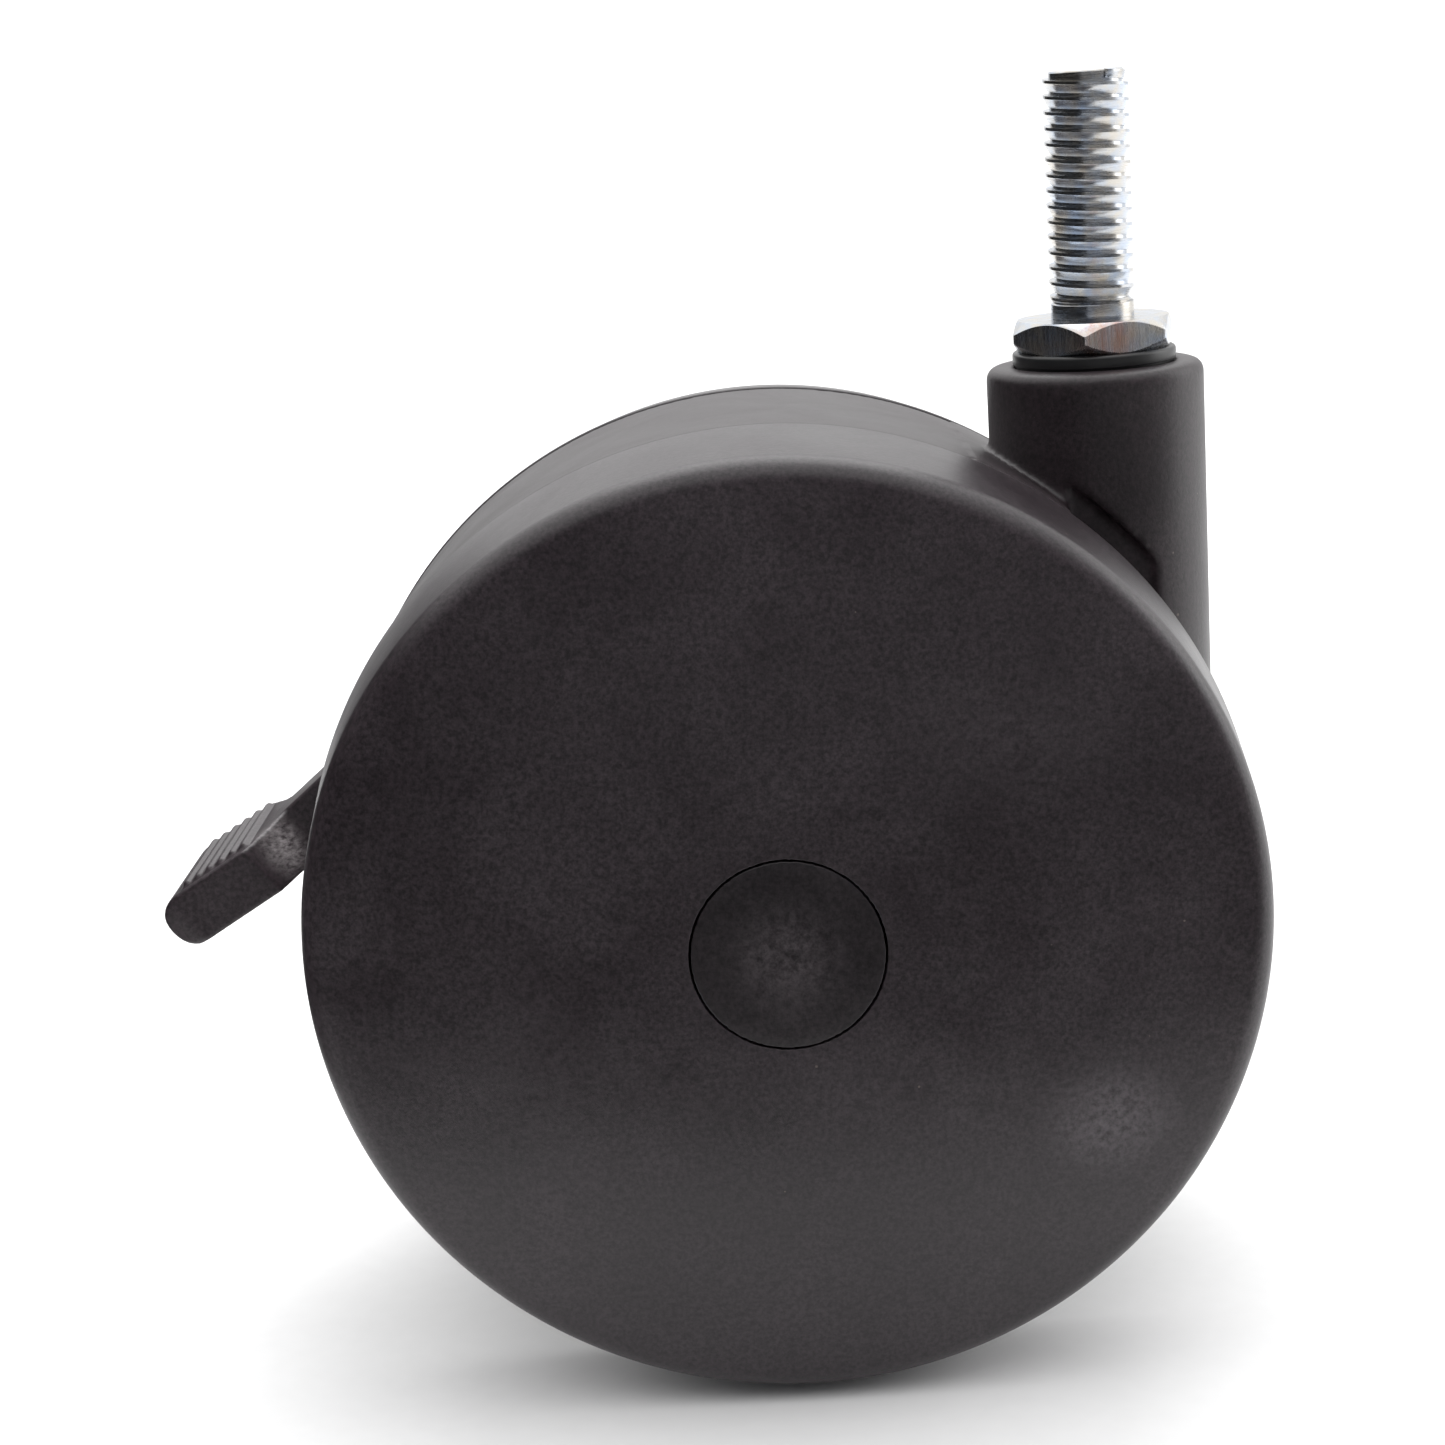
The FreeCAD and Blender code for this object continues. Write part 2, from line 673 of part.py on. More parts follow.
def make_axle_hardware(side, rotation):
    """Thrust washers each side of the hub, and the push nut that keeps the wheel on."""
    bore = "dims.axle_radius + dims.running_clearance"
    inner = tube(f"{side}_inner_washer", bore, "dims.thrust_washer_radius",
                 "dims.inner_washer_start", "dims.inner_washer_end")
    outer = tube(f"{side}_outer_washer", bore, "dims.outer_washer_radius",
                 "dims.outer_washer_start", "dims.outer_washer_end")
    nut = new_body(f"{side}_push_nut")
    revolve(nut, "shell", [
        ("dims.axle_radius", "dims.push_nut_end - dims.push_nut_sheet"),
        ("dims.push_nut_collar", "dims.push_nut_end - dims.push_nut_sheet"),
        ("dims.push_nut_collar", "dims.outer_washer_end"),
        ("dims.push_nut_radius", "dims.outer_washer_end"),
        ("dims.push_nut_radius", "dims.outer_washer_end + dims.push_nut_sheet"),
        ("dims.push_nut_collar + dims.push_nut_sheet", "dims.outer_washer_end + dims.push_nut_sheet"),
        ("dims.push_nut_collar + dims.push_nut_sheet", "dims.push_nut_end"),
        ("dims.axle_radius", "dims.push_nut_end"),
    ])
    for body in (inner, outer, nut):
        place_on_axle(body, rotation)


# ---------------------------------------------------------------- wheels

FACE_SPHERE = (
    "((dims.wheel_front_radius ^ 2 + (dims.wheel_face_plane - dims.wheel_edge_plane) ^ 2)"
    " / (2 * (dims.wheel_face_plane - dims.wheel_edge_plane)))"
)


def face_level(radius):
    """Height of the slightly domed wheel face at a radius."""
    return f"dims.wheel_face_plane - {FACE_SPHERE} + sqrt({FACE_SPHERE} ^ 2 - ({radius}) ^ 2)"


def is_front_edge(edge):
    """The sharp ring where the tread meets the face."""
    if len(edge.Vertexes) != 1:
        return False
    point = edge.Vertexes[0].Point
    radius_matches = abs(math.hypot(point.x, point.y) - number("dims.wheel_front_radius")) < 0.01
    return radius_matches and abs(point.z - number("dims.wheel_edge_plane")) < 0.01


def make_wheel(side, rotation):
    """One-piece wheel: tread, domed face, hub, ring ribs, spokes and the brake's teeth."""
    body = new_body(f"{side}_wheel")
    revolve(body, "shell", [
        ("dims.wheel_bush_radius", "dims.hub_start"),
        ("dims.hub_radius", "dims.hub_start"),
        ("dims.hub_radius", "dims.disc_hub_plane"),
        ("dims.rim_inner_radius", "dims.disc_rim_plane"),
        ("dims.rim_inner_radius", "dims.wheel_inner_plane"),
        ("dims.wheel_radius - dims.wheel_inner_chamfer", "dims.wheel_inner_plane"),
        ("dims.wheel_radius", "dims.wheel_inner_plane + dims.wheel_inner_chamfer"),
        ("dims.wheel_front_radius", "dims.wheel_edge_plane"),
        ("dims.cap_pocket_radius", face_level("dims.cap_pocket_radius"), FACE_SPHERE),
        ("dims.cap_pocket_radius", "dims.cap_pocket_floor"),
        ("dims.wheel_bush_radius", "dims.cap_pocket_floor"),
    ])
    dress_edges(body, "Fillet", "tread_edge", "dims.wheel_edge_round", is_front_edge)
    for name in ("inner", "outer"):
        radius = f"dims.{name}_ring_radius"
        revolve(body, f"{name}_ring", [
            (radius, "dims.ring_rib_start"),
            (f"{radius} + dims.ring_rib_wall", "dims.ring_rib_start"),
            (f"{radius} + dims.ring_rib_wall", "dims.ring_rib_end"),
            (radius, "dims.ring_rib_end"),
        ])
    add_rib_pattern(body, "spoke", "dims.hub_radius - dims.rib_overlap")
    add_rib_pattern(body, "tooth", "dims.tooth_tip_radius")
    place_on_axle(body, rotation)


def add_rib_pattern(body, name, inner):
    """Equal straight ribs that run out into the rim, the first one along the body's X axis."""
    outer = "dims.rim_inner_radius + dims.rib_overlap"
    half_width = f"dims.{name}_half_width"
    sketch = new_sketch(body, f"{name}_outline", "XY_Plane", height=f"dims.{name}_start")
    outline(sketch, [
        (inner, f"-{half_width}"),
        (outer, f"-{half_width}"),
        (outer, half_width),
        (inner, half_width),
    ])
    first = extrude(body, name, sketch, f"dims.{name}_end - dims.{name}_start", symmetric=False)
    DOC.recompute()
    polar_pattern(body, f"{name}_pattern", first, f"dims.{name}_count")


def make_wheel_bush(side, rotation):
    bore = "dims.axle_radius + dims.running_clearance"
    outer = "dims.wheel_bush_radius"
    body = tube(f"{side}_wheel_bush", bore, outer, "dims.hub_start", "dims.cap_pocket_floor")
    place_on_axle(body, rotation)


def make_hub_cap(side, rotation):
    """Push-in cap, flush with the wheel's face, with a short skirt behind it."""
    body = new_body(f"{side}_hub_cap")
    edge = "dims.cap_radius"
    revolve(body, "disc", [
        ("0", "dims.cap_disc_back"),
        ("dims.cap_skirt_inner", "dims.cap_disc_back"),
        ("dims.cap_skirt_inner", "dims.cap_skirt_start"),
        (f"{edge} - dims.cap_skirt_lead_in", "dims.cap_skirt_start"),
        (edge, "dims.cap_skirt_start + dims.cap_skirt_lead_in"),
        (edge, face_level(edge)),
        ("0", "dims.wheel_face_plane", FACE_SPHERE),
    ])
    place_on_axle(body, rotation)


# ---------------------------------------------------------------- brake


def place_on_pivot(body):
    """Lay a body at the pedal's pivot: its +X along the lever, outwards, and its +Z upwards."""
    lever = FreeCAD.Rotation(FreeCAD.Vector(0, 1, 0), -number("dims.neck_pitch"))
    outwards = FreeCAD.Rotation(FreeCAD.Vector(0, 0, 1), 180)
    body.Placement = FreeCAD.Placement(FreeCAD.Vector(0, 0, 0), lever.multiply(outwards))
    bind(body, "Placement.Base.x", "dims.pivot_x - dims.swivel_offset")
    bind(body, "Placement.Base.z", "dims.pivot_z - dims.axle_drop")


def pad_point(along, above):
    """A point of the foot pad: along its underside from the knee, and square to it."""
    bend = "dims.neck_pitch - dims.pad_pitch"
    x = f"dims.pad_knee + ({along}) * cos({bend}) - ({above}) * sin({bend})"
    z = f"dims.neck_bottom + ({along}) * sin({bend}) + ({above}) * cos({bend})"
    return (x, z)


def make_brake_pedal():
    """Lever from the foot pad, over its pivot, to the slotted tongue that moves the bar."""
    body = new_body("brake_pedal")
    tip = "dims.pad_tip_round"
    thick = "dims.pad_thickness"
    end = "dims.pad_length"
    slab(body, "lever", [
        ("0", "dims.neck_bottom"),
        ("dims.pad_knee", "dims.neck_bottom"),
        pad_point(f"{end} - {tip}", "0"),
        (*pad_point(end, tip), tip),
        (*pad_point(f"{end} - {thick} + {tip}", thick), f"{thick} - {tip}"),
        pad_point("dims.pad_heel", thick),
        ("0", "dims.neck_top"),
    ], "dims.pad_half_width")
    add_ridges(body)
    for name, side in (("near", -1), ("far", 1)):
        trim_pad_side(body, name, side)
    half = "dims.tongue_half_height"
    reach = "dims.tongue_reach"
    slab(body, "tongue", [
        ("0", f"-{half}"),
        ("0", half),
        (f"-{reach}", half),
        (f"-{reach} - {half}", "0", half),
        (f"-{reach}", f"-{half}", half),
    ], "dims.neck_half_width")
    disc(body, "eye", ("0", "0"), "dims.eye_radius", "dims.neck_half_width")
    bore = "dims.pivot_pin_radius + dims.running_clearance"
    disc(body, "bore", ("0", "0"), bore, "2 * dims.neck_half_width", cut=True)
    slot = "(dims.bar_radius + 2 * dims.running_clearance)"
    play = "dims.tongue_slot_play"
    slab(body, "bar_slot", [
        (f"-{reach} - {play}", slot),
        (f"-{reach} - {play} - {slot}", "0", slot),
        (f"-{reach} - {play}", f"-{slot}", slot),
        (f"-{reach} + {play}", f"-{slot}"),
        (f"-{reach} + {play} + {slot}", "0", slot),
        (f"-{reach} + {play}", slot, slot),
    ], "2 * dims.neck_half_width", cut=True)
    place_on_pivot(body)


def add_ridges(body):
    """Cross ridges on the foot pad, each a low triangular step, in a shallow bed with a border."""
    first = "dims.pad_start - dims.pad_knee + dims.ridge_first"
    last = f"{first} + dims.ridge_count * dims.ridge_pitch"
    gap = "dims.ridge_bed_gap"
    bed = "dims.pad_thickness - dims.ridge_bed"
    above = "dims.pad_thickness + dims.cut_overrun"
    slab(body, "ridge_bed", [
        pad_point(f"{first} - {gap}", bed),
        pad_point(f"{last} + {gap}", bed),
        pad_point(f"{last} + {gap}", above),
        pad_point(f"{first} - {gap}", above),
    ], "dims.pad_half_width - dims.ridge_border", cut=True)
    top = "dims.pad_thickness"
    crest = "dims.pad_thickness + dims.ridge_height"
    foot = f"{bed} - dims.ridge_root"
    corners = [pad_point(first, foot)]
    for ridge in range(round(number("dims.ridge_count"))):
        start = f"{first} + {ridge} * dims.ridge_pitch"
        corners.append(pad_point(start, top))
        corners.append(pad_point(f"{start} + dims.ridge_rise", crest))
        corners.append(pad_point(f"{start} + dims.ridge_crest", crest))
    corners.append(pad_point(last, top))
    corners.append(pad_point(last, foot))
    half_width = f"dims.pad_half_width - dims.ridge_border - {gap}"
    slab(body, "ridges", corners[::-1], half_width)


def trim_pad_side(body, name, side):
    """Cut one side of the lever to its plan: narrow neck, flare and rounded pad corner."""
    sketch = new_sketch(body, f"{name}_plan", "XY_Plane", height="-dims.axle_drop")
    corner = "dims.pad_corner_round"
    last = "(dims.pad_knee + dims.pad_length)"
    narrow = f"{side} * dims.neck_half_width"
    wide = f"{side} * dims.pad_half_width"
    inset = f"{side} * (dims.pad_half_width - {corner})"
    outside = f"{side} * (dims.pad_half_width + dims.cut_overrun)"
    beyond = f"{last} + dims.cut_overrun"
    behind = "-dims.cut_overrun"
    outline(sketch, [
        (behind, outside),
        (behind, narrow),
        ("dims.pad_flare_start", narrow),
        ("dims.pad_start", wide),
        (f"{last} - {corner}", wide),
        (last, inset, f"{-side} * {corner}"),
        (beyond, inset),
        (beyond, outside),
    ])
    depth = "2 * dims.axle_drop"
    extrude(body, f"{name}_trim", sketch, depth, cut=True, symmetric=False, reverse=True)


def make_round_pin(label, radius, half_length, chamfer):
    """A plain pin with chamfered ends, made along Z of its own body and laid across the caster."""
    body = new_body(label)
    revolve(body, "rod", [
        ("0", f"-{half_length}"),
        (f"{radius} - {chamfer}", f"-{half_length}"),
        (radius, f"-{half_length} + {chamfer}"),
        (radius, f"{half_length} - {chamfer}"),
        (f"{radius} - {chamfer}", half_length),
        ("0", half_length),
    ])
    body.Placement = FreeCAD.Placement(FreeCAD.Vector(0, 0, 0), FRONT)
    return body


def make_brake_pins():
    """The fixed pivot pin in the cheeks and the locking bar that slides in their slots."""
    radius = "dims.pivot_pin_radius"
    half_length = "dims.plate_half_width"
    pivot = make_round_pin("pedal_pivot_pin", radius, half_length, "dims.pivot_pin_chamfer")
    bind(pivot, "Placement.Base.x", "dims.pivot_x - dims.swivel_offset")
    bind(pivot, "Placement.Base.z", "dims.pivot_z - dims.axle_drop")
    bar = make_round_pin("locking_bar", "dims.bar_radius", "dims.bar_half_length", "dims.bar_chamfer")
    x, z = polar("dims.bar_rest_radius", "dims.bar_angle")
    bind(bar, "Placement.Base.x", x)
    bind(bar, "Placement.Base.z", z)


def make_hold_spring():
    """Strip spring under the pedal's eye, its inner end hooked into the housing's block."""
    body = new_body("pedal_hold_spring")
    below = "dims.spring_top - dims.spring_thickness"
    inner = "dims.spring_inner_end"
    slab(body, "strip", [
        (inner, "dims.spring_top - dims.spring_hook"),
        (f"{inner} + dims.spring_thickness", "dims.spring_top - dims.spring_hook"),
        (f"{inner} + dims.spring_thickness", below),
        ("dims.spring_outer_end", below),
        ("dims.spring_outer_end", "dims.spring_top"),
        (inner, "dims.spring_top"),
    ], "dims.spring_half_width")
    place_on_pivot(body)


# ---------------------------------------------------------------- whole caster


def make_caster():
    make_threaded_stem()
    make_stem_hardware()
    make_housing()
    make_stem_bushes()
    make_axle()
    for side, rotation in (("front", FRONT), ("rear", REAR)):
        make_axle_hardware(side, rotation)
        make_wheel(side, rotation)
        make_wheel_bush(side, rotation)
        make_hub_cap(side, rotation)
    make_brake_pins()
    make_brake_pedal()
    make_hold_spring()
    DOC.recompute()


def check_document():
    """Stop if any object failed or any sub-part is missing, invalid or not one solid."""
    for item in DOC.Objects:
        if "Invalid" in item.State or "Error" in item.State:
            raise RuntimeError(f"{item.Label} failed: {item.State}")
    for body in sub_parts():
        shape = body.Shape
        if shape.isNull() or not shape.isValid() or len(shape.Solids) != 1:
            raise RuntimeError(f"{body.Label} is not one valid solid")


def sub_parts():
    return [item for item in DOC.Objects if item.TypeId == "PartDesign::Body"]


def write_parts():
    os.makedirs("parts", exist_ok=True)
    for body in sub_parts():
        body.Shape.exportStep(f"parts/{body.Label}.step")
        print(f"{body.Label}: {body.Shape.Volume / 1000:.3f} cm3")


make_caster()
check_document()
write_parts()
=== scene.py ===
"""Looks of a hooded twin-wheel caster with a threaded stem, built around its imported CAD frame."""

import json
import logging
import math
import random
from dataclasses import dataclass, field
from enum import Enum
from typing import Callable, Iterable, Sequence

import bmesh
import bpy
from mathutils import Matrix, Vector


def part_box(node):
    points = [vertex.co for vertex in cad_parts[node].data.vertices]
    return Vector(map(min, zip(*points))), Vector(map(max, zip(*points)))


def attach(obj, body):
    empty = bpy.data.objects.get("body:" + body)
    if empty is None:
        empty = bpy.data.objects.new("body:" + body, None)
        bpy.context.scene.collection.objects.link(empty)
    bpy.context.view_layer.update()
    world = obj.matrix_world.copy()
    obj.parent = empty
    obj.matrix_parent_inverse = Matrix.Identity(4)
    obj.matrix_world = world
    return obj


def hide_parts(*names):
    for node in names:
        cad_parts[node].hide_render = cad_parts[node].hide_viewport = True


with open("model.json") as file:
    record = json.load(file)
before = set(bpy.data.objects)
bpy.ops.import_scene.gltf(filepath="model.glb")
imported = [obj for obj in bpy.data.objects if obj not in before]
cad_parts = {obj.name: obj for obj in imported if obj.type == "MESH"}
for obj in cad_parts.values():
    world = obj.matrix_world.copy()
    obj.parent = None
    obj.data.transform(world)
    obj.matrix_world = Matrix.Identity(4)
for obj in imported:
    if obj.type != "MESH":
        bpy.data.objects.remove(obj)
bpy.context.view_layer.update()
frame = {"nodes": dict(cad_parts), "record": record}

MM = 0.001
TURN = 2.0 * math.pi
LOG = logging.getLogger("caster")

Point = tuple[float, float]
Corner = tuple[float, float, float]
Span = tuple[float, float]
Edge = Callable[[float, float, float], float]
Socket = bpy.types.NodeSocket


class Side(Enum):
    """Which wheel of the pair, by the way its outer face looks along Y."""

    FRONT = -1
    REAR = 1

    @property
    def label(self) -> str:
        """The word that the CAD nodes of this side start with."""
        return self.name.lower()


class Slot(Enum):
    """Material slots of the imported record."""

    WHEEL = "wheel_plastic"
    CAP = "cap_plastic"
    HOUSING = "housing_plastic"
    PEDAL = "pedal_plastic"
    BUSH = "bush_plastic"
    ACETAL = "acetal"
    ZINC = "zinc_steel"
    SPRING = "spring_steel"


# ---------------------------------------------------------------- colours and nodes


def linear(hex_colour: str) -> tuple[float, float, float, float]:
    """Turn an sRGB hex colour into the linear one that shaders work in.

    Args:
        hex_colour: six hex digits after a hash.

    Returns:
        Linear red, green, blue and an alpha of 1.
    """
    channels = [int(hex_colour[place:place + 2], 16) / 255.0 for place in (1, 3, 5)]
    low = [channel / 12.92 for channel in channels]
    high = [((channel + 0.055) / 1.055) ** 2.4 for channel in channels]
    picked = [a if channel <= 0.04045 else b for channel, a, b in zip(channels, low, high)]
    return (*picked, 1.0)


def add_node(tree: bpy.types.NodeTree, kind: str, feeds: dict | None = None, **settings) -> bpy.types.Node:
    """Add one node, with its settings, and link or set its inputs.

    Args:
        tree: the node tree that the node goes in.
        kind: the node's type name.
        feeds: an input's name or number to the socket or value that it takes.
        settings: properties of the node itself.

    Returns:
        The node.
    """
    made = tree.nodes.new(kind)
    for name, value in settings.items():
        setattr(made, name, value)
    for key, value in (feeds or {}).items():
        if isinstance(value, bpy.types.NodeSocket):
            tree.links.new(value, made.inputs[key])
        else:
            made.inputs[key].default_value = value
    return made


def sums(tree: bpy.types.NodeTree, operation: str, *values: object) -> Socket:
    """Work out one sum.

    Args:
        tree: the node tree.
        operation: the maths node's operation.
        values: its inputs in order, as numbers or sockets.

    Returns:
        The result.
    """
    return add_node(tree, "ShaderNodeMath", dict(enumerate(values)), operation=operation).outputs[0]


def vectors(tree: bpy.types.NodeTree, operation: str, *values: object) -> Socket:
    """Work out one vector sum, as sums does for numbers."""
    made = add_node(tree, "ShaderNodeVectorMath", dict(enumerate(values)), operation=operation)
    return made.outputs["Value" if operation == "LENGTH" else "Vector"]


def scaled(tree: bpy.types.NodeTree, vector: Socket, scale: Socket) -> Socket:
    """A vector or a colour times a number."""
    feeds = {0: vector, "Scale": scale}
    return add_node(tree, "ShaderNodeVectorMath", feeds, operation="SCALE").outputs[0]


def remap(tree: bpy.types.NodeTree, value: Socket, source: Span = (0.0, 1.0), target: Span = (0.0, 1.0),
          smooth: bool = False) -> Socket:
    """Take one range of a value to another and hold it there.

    Args:
        tree: the node tree.
        value: the value.
        source: where the range starts and ends.
        target: what those two become.
        smooth: whether it eases in and out.

    Returns:
        The value in its new range.
    """
    feeds = {"Value": value, "From Min": source[0], "From Max": source[1],
             "To Min": target[0], "To Max": target[1]}
    kind = "SMOOTHSTEP" if smooth else "LINEAR"
    return add_node(tree, "ShaderNodeMapRange", feeds, interpolation_type=kind).outputs["Result"]


def noise(tree: bpy.types.NodeTree, where: Socket, size_mm: float, detail: float, roughness: float = 0.5,
          distortion: float = 0.0) -> Socket:
    """Soft noise of a real size.

    Args:
        tree: the material's node tree.
        where: the coordinates.
        size_mm: the size of its largest lumps, in millimetres.
        detail: how many finer layers it has.
        roughness: how strong the finer layers are.
        distortion: how much it is swirled.

    Returns:
        The noise, round 0.5.
    """
    feeds = {"Vector": where, "Scale": 1.0 / (size_mm * MM), "Detail": detail, "Roughness": roughness,
             "Distortion": distortion}
    return add_node(tree, "ShaderNodeTexNoise", feeds).outputs["Fac"]


def mix_colours(tree: bpy.types.NodeTree, share: object, under: object, over: object) -> Socket:
    """Mix two colours, or colour sockets, by a share.

    Args:
        tree: the material's node tree.
        share: how much of the second colour, as a number or a socket.
        under: the first colour.
        over: the second colour.

    Returns:
        The mixed colour.
    """
    made = add_node(tree, "ShaderNodeMix", {0: share, 6: under, 7: over}, data_type="RGBA")
    return made.outputs[2]


def start_material(name: str) -> tuple[bpy.types.Material, bpy.types.NodeTree, Socket]:
    """A new material with an empty tree.

    Args:
        name: the material's name.

    Returns:
        The material, its node tree and the object's coordinates.
    """
    material = bpy.data.materials.new(name)
    material.use_nodes = True
    tree = material.node_tree
    tree.nodes.clear()
    where = add_node(tree, "ShaderNodeTexCoord").outputs["Object"]
    return material, tree, where


def end_material(tree: bpy.types.NodeTree, feeds: dict) -> None:
    """Join a Principled shader with its inputs to the material's output.

    Args:
        tree: the material's node tree.
        feeds: the shader's inputs.
    """
    shader = add_node(tree, "ShaderNodeBsdfPrincipled", feeds)
    add_node(tree, "ShaderNodeOutputMaterial", {"Surface": shader.outputs["BSDF"]})


# ---------------------------------------------------------------- finishes


@dataclass(frozen=True)
class Mark:
    """A soft-edged patch of colour on a piece: dust, scuffing or stain, and on some pieces painted
    highlights, shade and reflections.

    Its centre is in the row frame, its reach is a half-size along X, Y and Z, both in millimetres.
    """

    centre: tuple[float, float, float]
    reach: tuple[float, float, float]
    colour: str
    strength: float
    grain: float = 2.0
    streak: tuple[float, float, float] = (1.0, 1.0, 1.0)


def blend_marks(tree: bpy.types.NodeTree, where: Socket, colour: Socket, marks: Iterable[Mark]) -> Socket:
    """Lay patches over a colour, each broken up by its own noise.

    Args:
        tree: the material's node tree.
        where: the object's coordinates.
        colour: the colour underneath.
        marks: the patches, first to last.

    Returns:
        The colour with the patches on it.
    """
    for mark in marks:
        spread = [1.0 / (reach * MM) for reach in mark.reach]
        shift = [-centre * MM * scale for centre, scale in zip(mark.centre, spread)]
        far = vectors(tree, "LENGTH", vectors(tree, "MULTIPLY_ADD", where, spread, shift))
        fade = remap(tree, far, (1.0, 0.15), smooth=True)
        broken = noise(tree, vectors(tree, "MULTIPLY", where, mark.streak), mark.grain, 5.0, 0.65)
        share = sums(tree, "MULTIPLY", fade, remap(tree, broken, (0.34, 0.68), (0.0, mark.strength)))
        colour = mix_colours(tree, share, colour, linear(mark.colour))
    return colour


@dataclass(frozen=True)
class MouldedNylon:
    """Black glass-filled nylon from a spark-eroded mould.

    To the eye it is charcoal, matte, with a fine even grain, faint cloudy patches where the melt
    met and a few bright lint specks; its marks add dry dust, and painted light and shade on the wheel and
    the pedal.
    """

    name: str
    base: str = "#241D21"
    cloud: str = "#2E272B"
    fleck: str = "#6E625C"
    roughness: float = 0.36
    grain_mm: float = 0.45
    grain_depth_mm: float = 0.035
    cloud_mm: float = 16.0
    fleck_pitch_mm: float = 3.4
    fleck_share: float = 0.5
    mottle_low: float = 0.5
    marks: tuple[Mark, ...] = ()

    def build(self) -> bpy.types.Material:
        """Build the material.

        Returns:
            The material.
        """
        material, tree, where = start_material(self.name)
        grain = noise(tree, where, self.grain_mm, 4.0, 0.6)
        cloud = noise(tree, where, self.cloud_mm, 5.0, 0.62, 0.4)
        mottle = noise(tree, where, 1.1 * self.grain_mm, 4.0, 0.7)
        patches = remap(tree, cloud, (0.36, 0.68))
        colour = mix_colours(tree, patches, linear(self.base), linear(self.cloud))
        speckle = remap(tree, mottle, (0.36, 0.64), (self.mottle_low, 2.0 - self.mottle_low))
        colour = self._fleck(tree, where, scaled(tree, colour, speckle))
        colour = blend_marks(tree, where, colour, self.marks)
        dull = remap(tree, cloud, (0.3, 0.7), (self.roughness - 0.04, self.roughness + 0.06))
        bump = add_node(tree, "ShaderNodeBump", {"Height": grain, "Strength": 0.7,
                        "Distance": self.grain_depth_mm * MM})
        end_material(tree, {"Base Color": colour, "Roughness": dull, "IOR": 1.53,
                     "Normal": bump.outputs["Normal"]})
        return material

    def _fleck(self, tree: bpy.types.NodeTree, where: Socket, colour: Socket) -> Socket:
        """Scatter small pale specks of lint, one in some of the cells of a loose grid.

        Args:
            tree: the material's node tree.
            where: the object's coordinates.
            colour: the colour underneath.

        Returns:
            The colour with the specks on it.
        """
        pitch = 1.0 / (self.fleck_pitch_mm * MM)
        cells = add_node(tree, "ShaderNodeTexVoronoi", {"Vector": where, "Scale": pitch})
        pick = add_node(tree, "ShaderNodeSeparateColor", {"Color": cells.outputs["Color"]})
        size = remap(tree, pick.outputs["Red"], (1.0 - self.fleck_share, 1.0), (0.0, 0.055))
        gap = sums(tree, "SUBTRACT", size, cells.outputs["Distance"])
        return mix_colours(tree, remap(tree, gap, (0.0, 0.02), (0.0, 0.6)), colour, linear(self.fleck))


@dataclass(frozen=True)
class ZincPlate:
    """Bright zinc plate over turned steel.

    To the eye it is a cool silver mirror broken up by fine tool lines, round the thread and
    upright on the hexagon, with patches that are bluer, warmer or duller where the plating is thin.
    """

    name: str
    cool: str = "#B3BCC9"
    warm: str = "#C1BDB6"
    roughness: float = 0.2
    patch_mm: float = 2.6
    line_mm: float = 0.16
    upright_below_mm: float = -0.05
    marks: tuple[Mark, ...] = ()

    def build(self) -> bpy.types.Material:
        """Build the material.

        Returns:
            The material.
        """
        material, tree, where = start_material(self.name)
        patch = noise(tree, where, self.patch_mm, 5.0, 0.6)
        level = add_node(tree, "ShaderNodeSeparateXYZ", {0: where}).outputs["Z"]
        above = sums(tree, "GREATER_THAN", level, self.upright_below_mm * MM)
        lean = mix_colours(tree, above, (1.0, 1.0, 0.06, 1.0), (0.06, 0.06, 1.0, 1.0))
        tooling = noise(tree, vectors(tree, "MULTIPLY", where, lean), self.line_mm, 3.0)
        colour = mix_colours(tree, remap(tree, patch, (0.38, 0.62)), linear(self.cool), linear(self.warm))
        colour = blend_marks(tree, where, colour, self.marks)
        dull = remap(tree, tooling, (0.3, 0.7), (self.roughness - 0.06, self.roughness + 0.14))
        bump = add_node(tree, "ShaderNodeBump", {"Height": tooling, "Strength": 0.25, "Distance": 0.01 * MM})
        end_material(tree, {"Base Color": colour, "Metallic": 1.0, "Roughness": dull,
                     "Normal": bump.outputs["Normal"]})
        return material


@dataclass(frozen=True)
class OiledSpringSteel:
    """Blued spring steel with a film of oil: dark grey, satin, with a faint brown cast."""

    name: str
    steel: str = "#6E6F73"
    oil: str = "#4A443E"
    roughness: float = 0.34
    film_mm: float = 1.8

    def build(self) -> bpy.types.Material:
        """Build the material.

        Returns:
            The material.
        """
        material, tree, where = start_material(self.name)
        film = noise(tree, where, self.film_mm, 4.0)
        colour = mix_colours(tree, film, linear(self.steel), linear(self.oil))
        dull = remap(tree, film, target=(self.roughness - 0.1, self.roughness + 0.1))
        end_material(tree, {"Base Color": colour, "Metallic": 1.0, "Roughness": dull})
        return material


@dataclass(frozen=True)
class Acetal:
    """Acetal as moulded: waxy and smooth, with the faint flow clouds that a light colour shows."""

    name: str
    body: str = "#E6E3DA"
    cloud: str = "#DAD5C8"
    roughness: float = 0.35
    flow_mm: float = 4.0

    def build(self) -> bpy.types.Material:
        """Build the material.

        Returns:
            The material.
        """
        material, tree, where = start_material(self.name)
        flow = noise(tree, where, self.flow_mm, 3.0, distortion=0.8)
        colour = mix_colours(tree, flow, linear(self.body), linear(self.cloud))
        dull = remap(tree, flow, target=(self.roughness - 0.06, self.roughness + 0.08))
        end_material(tree, {"Base Color": colour, "Roughness": dull, "IOR": 1.48})
        return material


